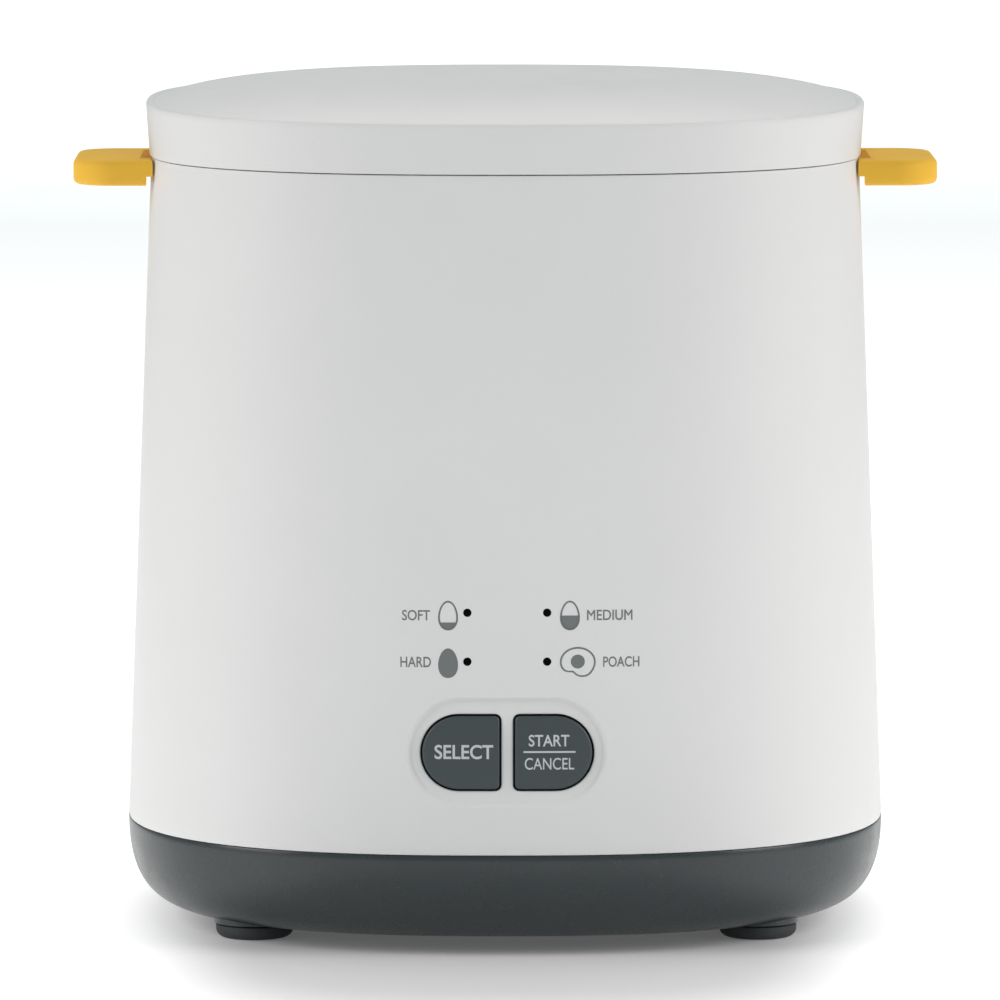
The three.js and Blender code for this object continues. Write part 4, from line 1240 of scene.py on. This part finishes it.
def upright(piece, side):
    """Turns a slab drawn as (distance, height) to stand across X on one side."""
    turn = Matrix.Rotation(pi / 2, 4, "X")
    flip = Matrix.Scale(side, 4, Vector((1, 0, 0)))
    piece.data.transform(flip @ turn)
    tidy(piece.data, 30)
    return piece


def egg_rack():
    """A plate with seven collared seats, and an arm on each side that rises to a grip."""
    amber = [finish_of("egg_rack")]
    plate_top = RACK_PLATE + 2.4
    plate = [oval_outline(67.5, 200)] + [circle_outline(16.5, x, y, 72) for x, y in EGG_SEATS]
    parts = [slab("rack_plate", plate, RACK_PLATE, plate_top, 0.4, amber)]
    ring = softened([(16.5, RACK_PLATE, 0.3), (18.3, RACK_PLATE, 0.3), (18.3, 104, 0.7), (16.5, 104, 0.7)])
    parts += revolved_at(EGG_SEATS, "collar", ring, amber, segments=72, closed=True)
    arm = softened([
        (64.5, plate_top, 0.4), (64.5, RACK_PLATE, 0.4), (71.2, RACK_PLATE, 1.5), (71.2, 175.1, 0.8),
        (85, 175.1, 0.4), (85, RACK_TOP, 0.4), (69, RACK_TOP, 2.2), (69, plate_top, 1),
    ], 6)
    for side in SIDES:
        parts.append(upright(slab(f"arm_{side}", [arm], -12, 12, 0.4, amber), side))
        neck = softened([(side * 70, -15, 2), (side * 86, -15, 0), (side * 86, 15, 0), (side * 70, 15, 2)])
        parts.append(slab(f"neck_{side}", [neck], 175.1, RACK_TOP, 0.5, amber))
        parts.append(grip(side, amber))
    stands_for(joined("rack", parts), "egg_rack", "egg_rack")


def grip(side, material):
    """A handle with a full round edge. Its inner end follows the shell and is stepped along the bottom."""
    root, half, bottom = 78, 22, 173
    inner_half_width, step_reach, step_height = 83.75, 1.4, 2.2
    corners = [(root, -half, 0), (GRIP_END, -half, 9.5), (GRIP_END, half, 9.5), (root, half, 0)]
    outline = [(side * x, y) for x, y in softened(corners, 10)]
    handle = slab(f"grip_{side}", [outline], bottom, RACK_TOP, 1.3, material)
    clearances = {
        "shell_clearance": (inner_half_width, 190),
        "step_clearance": (inner_half_width + step_reach, bottom + step_height),
    }
    cutters = []
    for name, (half_width, top) in clearances.items():
        profile = [(0, 160), (half_width, 160), (half_width, top), (0, top)]
        cutters.append(revolved(name, profile, material, oval=True, segments=240))
    return carved(handle, cutters)


def notched_oval(half_width, notch_x, notch_y, count=90):
    """The oval with a square notch in each end."""
    start = side_angle(half_width, notch_y)
    rear = zip(*oval_points(half_width, np.linspace(start, pi - start, count)))
    front = zip(*oval_points(half_width, np.linspace(pi + start, 2 * pi - start, count)))
    left = [(-notch_x, notch_y), (-notch_x, -notch_y)]
    right = [(notch_x, -notch_y), (notch_x, notch_y)]
    return [*rear, *left, *front, *right]


def poaching_tray():
    """A flat tray with four round cups, notched at its ends for the rack's arms."""
    coating = [finish_of("poaching_tray")]
    plate = [notched_oval(77, 68.4, 15.6)] + [circle_outline(26.6, x, y, 96) for x, y in TRAY_CUPS]
    parts = [slab("tray_plate", plate, TRAY_BOTTOM, TRAY_TOP, 0.35, coating)]
    profile = softened([
        (0, 153.9, 0), (12, 153.9, 8), (24.6, 162.2, 10), (26.25, TRAY_TOP - 0.4, 0), (26.8, TRAY_TOP, 0),
        (28.2, TRAY_TOP - 0.3, 0), (27.6, TRAY_BOTTOM, 0.5), (26.0, 161.4, 11), (12, 152.5, 9), (0, 152.5, 0),
    ], 8)
    parts += revolved_at(TRAY_CUPS, "cup", profile, coating, segments=96)
    stands_for(joined("tray", parts), "poaching_tray", "poaching_tray")


# ---- Feet, gland and the parts sealed inside ----


def feet():
    profile = softened([(0, 0, 0), (9, 0, 2), (9, 3.1, 0.3), (3, 3.1, 0), (3, 8, 0.4), (0, 8, 0)], 6)
    for i, spot in enumerate(FEET):
        node = f"foot_{i + 1}"
        foot = revolved(f"pad_{i + 1}", profile, [finish_of(node)], segments=72, centre=spot)
        stands_for(foot, node)


def cord_gland():
    profile = softened([
        (3.5, 71, 0.3), (5.7, 71, 0.3), (5.7, 80.1, 0), (7.4, 80.1, 0.3), (7.4, 81.9, 0.7), (3.5, 81.9, 0.7),
    ])
    ring = revolved("gland", profile, [finish_of("cord_gland")], segments=72, closed=True)
    stands_for(along_y(ring, 0, GLAND_HEIGHT), "cord_gland")


def finish_inner_parts():
    """Softens the edges of the CAD solids that stay, and gives each its own material."""
    for name, node in frame["nodes"].items():
        material = finish_of(name)
        node.data.materials.clear()
        node.data.materials.append(material)
        if node.hide_render:
            continue
        edge = node.modifiers.new("softened", "BEVEL")
        edge.width = 0.18 * MM
        edge.segments = 2
        edge.limit_method = "ANGLE"
        edge.angle_limit = radians(40)


# ---- Stage, light and camera ----


def floor():
    """A wide white floor with painted light. It glows softly all round, past a rounded pool of painted shade
    at the object.
    """
    reach = 12  # metres each way, so that it lies past a camera on any side
    corners = [(-reach, -reach), (reach, -reach), (reach, reach), (-reach, reach)]
    vertices = [(x / MM, y / MM, 0) for x, y in corners]
    # the rounded pool of painted shade: its half-sizes in metres, then the glow inside it, near it and far
    # behind
    painted_shade_half_width, painted_shade_half_depth = 0.088, 0.19
    painted_shade_glow, near_glow, far_glow = 0.09, 0.62, 0.95
    # where each change of the painted glow starts and ends: in shares of the painted pool's size, then in
    # metres
    painted_pool_edge = (0.66, 1.06)
    rise_behind, fade_in_front, fade_aside = (0.5, 3), (-0.7, -0.2), (0.4, 1.0)
    nodes = Nodes("floor_paint", 0.6)
    nodes.colour(nodes.spread(nodes.noise(3, 2), 0, 1), (0.73, 0.73, 0.73), (0.75, 0.75, 0.75))
    axes = nodes.add("SeparateXYZ")
    nodes.link(nodes.place, axes.inputs["Vector"])
    aside = nodes.maths("ABSOLUTE", axes.outputs["X"])
    ahead = nodes.maths("ABSOLUTE", axes.outputs["Y"])
    across = nodes.ramp(aside, 0, painted_shade_half_width, 0, 1, clamp=False)
    along = nodes.ramp(ahead, 0, painted_shade_half_depth, 0, 1, clamp=False)
    fourths = [nodes.power(share, 4) for share in (across, along)]
    distance = nodes.power(nodes.maths("ADD", *fourths), 0.25)
    # painted shade: the glow drops inside the pool round the object
    near = nodes.ramp(distance, *painted_pool_edge, painted_shade_glow, near_glow, "SMOOTHSTEP")
    # painted light: the glow rises behind the object, then fades to the sides and in front
    glow = nodes.maths("MAXIMUM", near, nodes.ramp(axes.outputs["Y"], *rise_behind, 0, far_glow))
    glow = nodes.maths("MULTIPLY", glow, nodes.ramp(aside, *fade_aside, 1, 0))
    glow = nodes.maths("MULTIPLY", glow, nodes.ramp(axes.outputs["Y"], *fade_in_front, 0, 1))
    nodes.link(glow, nodes.shader.inputs["Emission Strength"])
    nodes.shader.inputs["Emission Color"].default_value = (1, 1, 1, 1)
    new_object("floor", vertices, [(0, 1, 2, 3)], [nodes.material])


SOFTBOXES = {
    # name: (azimuth, distance m, height m, width m, tall m, watts)
    "left_box": (-67, 1.6, 0.9, 0.9, 1.3, 15.7),
    "right_box": (70, 1.6, 0.9, 0.9, 1.3, 16.8),
    "rear_box": (180, 0.9, 1.7, 1.8, 1.4, 13.6),
}


def softbox(name, azimuth, distance, height, width, tall, watts):
    """A rectangular light at an azimuth from the front, aimed at the object's middle."""
    light = bpy.data.lights.new(name, "AREA")
    light.shape = "RECTANGLE"
    light.size, light.size_y = width, tall
    light.energy = watts
    light.color = (1, 0.89, 0.89)
    lamp = linked(name, light)
    turn = radians(azimuth)
    lamp.location = (distance * sin(turn), -distance * cos(turn), height)
    aim = Vector((0, 0, 0.1)) - lamp.location
    lamp.rotation_euler = aim.to_track_quat("-Z", "Y").to_euler()


def studio():
    floor()
    for name, setup in SOFTBOXES.items():
        softbox(name, *setup)
    world = bpy.data.worlds.new("studio_air")
    world.use_nodes = True
    fill(world.node_tree.nodes["Background"], {"Color": (0.79, 1.0, 1.0, 1), "Strength": 0.31})
    bpy.context.scene.world = world
    bpy.context.scene.view_settings.view_transform = "Standard"


def camera():
    """A long lens a little over two metres in front, looking slightly down."""
    aside, away, height = -0.014, 2.193, 0.3295
    dip = radians(6.05)
    data = bpy.data.cameras.new("camera")
    data.sensor_width = 36
    data.lens = 335.9
    data.shift_x = -0.005
    eye = linked("camera", data)
    eye.location = (aside, -away, height)
    eye.rotation_euler = (pi / 2 - dip, 0, atan(aside / away))
    bpy.context.scene.camera = eye


camera()
studio()
body_shell()
base_housing()
lid_cover()
lid_inner_panel()
button(-1, "select", "select_button", "select_button")
button(1, "start_cancel", "start_cancel_button", "start_cancel_button")
for spot in light_spots():
    light_pipe(*spot)
panel_print()
button_print()
chamber_liner()
heating_plate()
plate_gasket()
heat_shield()
egg_rack()
poaching_tray()
feet()
cord_gland()
finish_inner_parts()
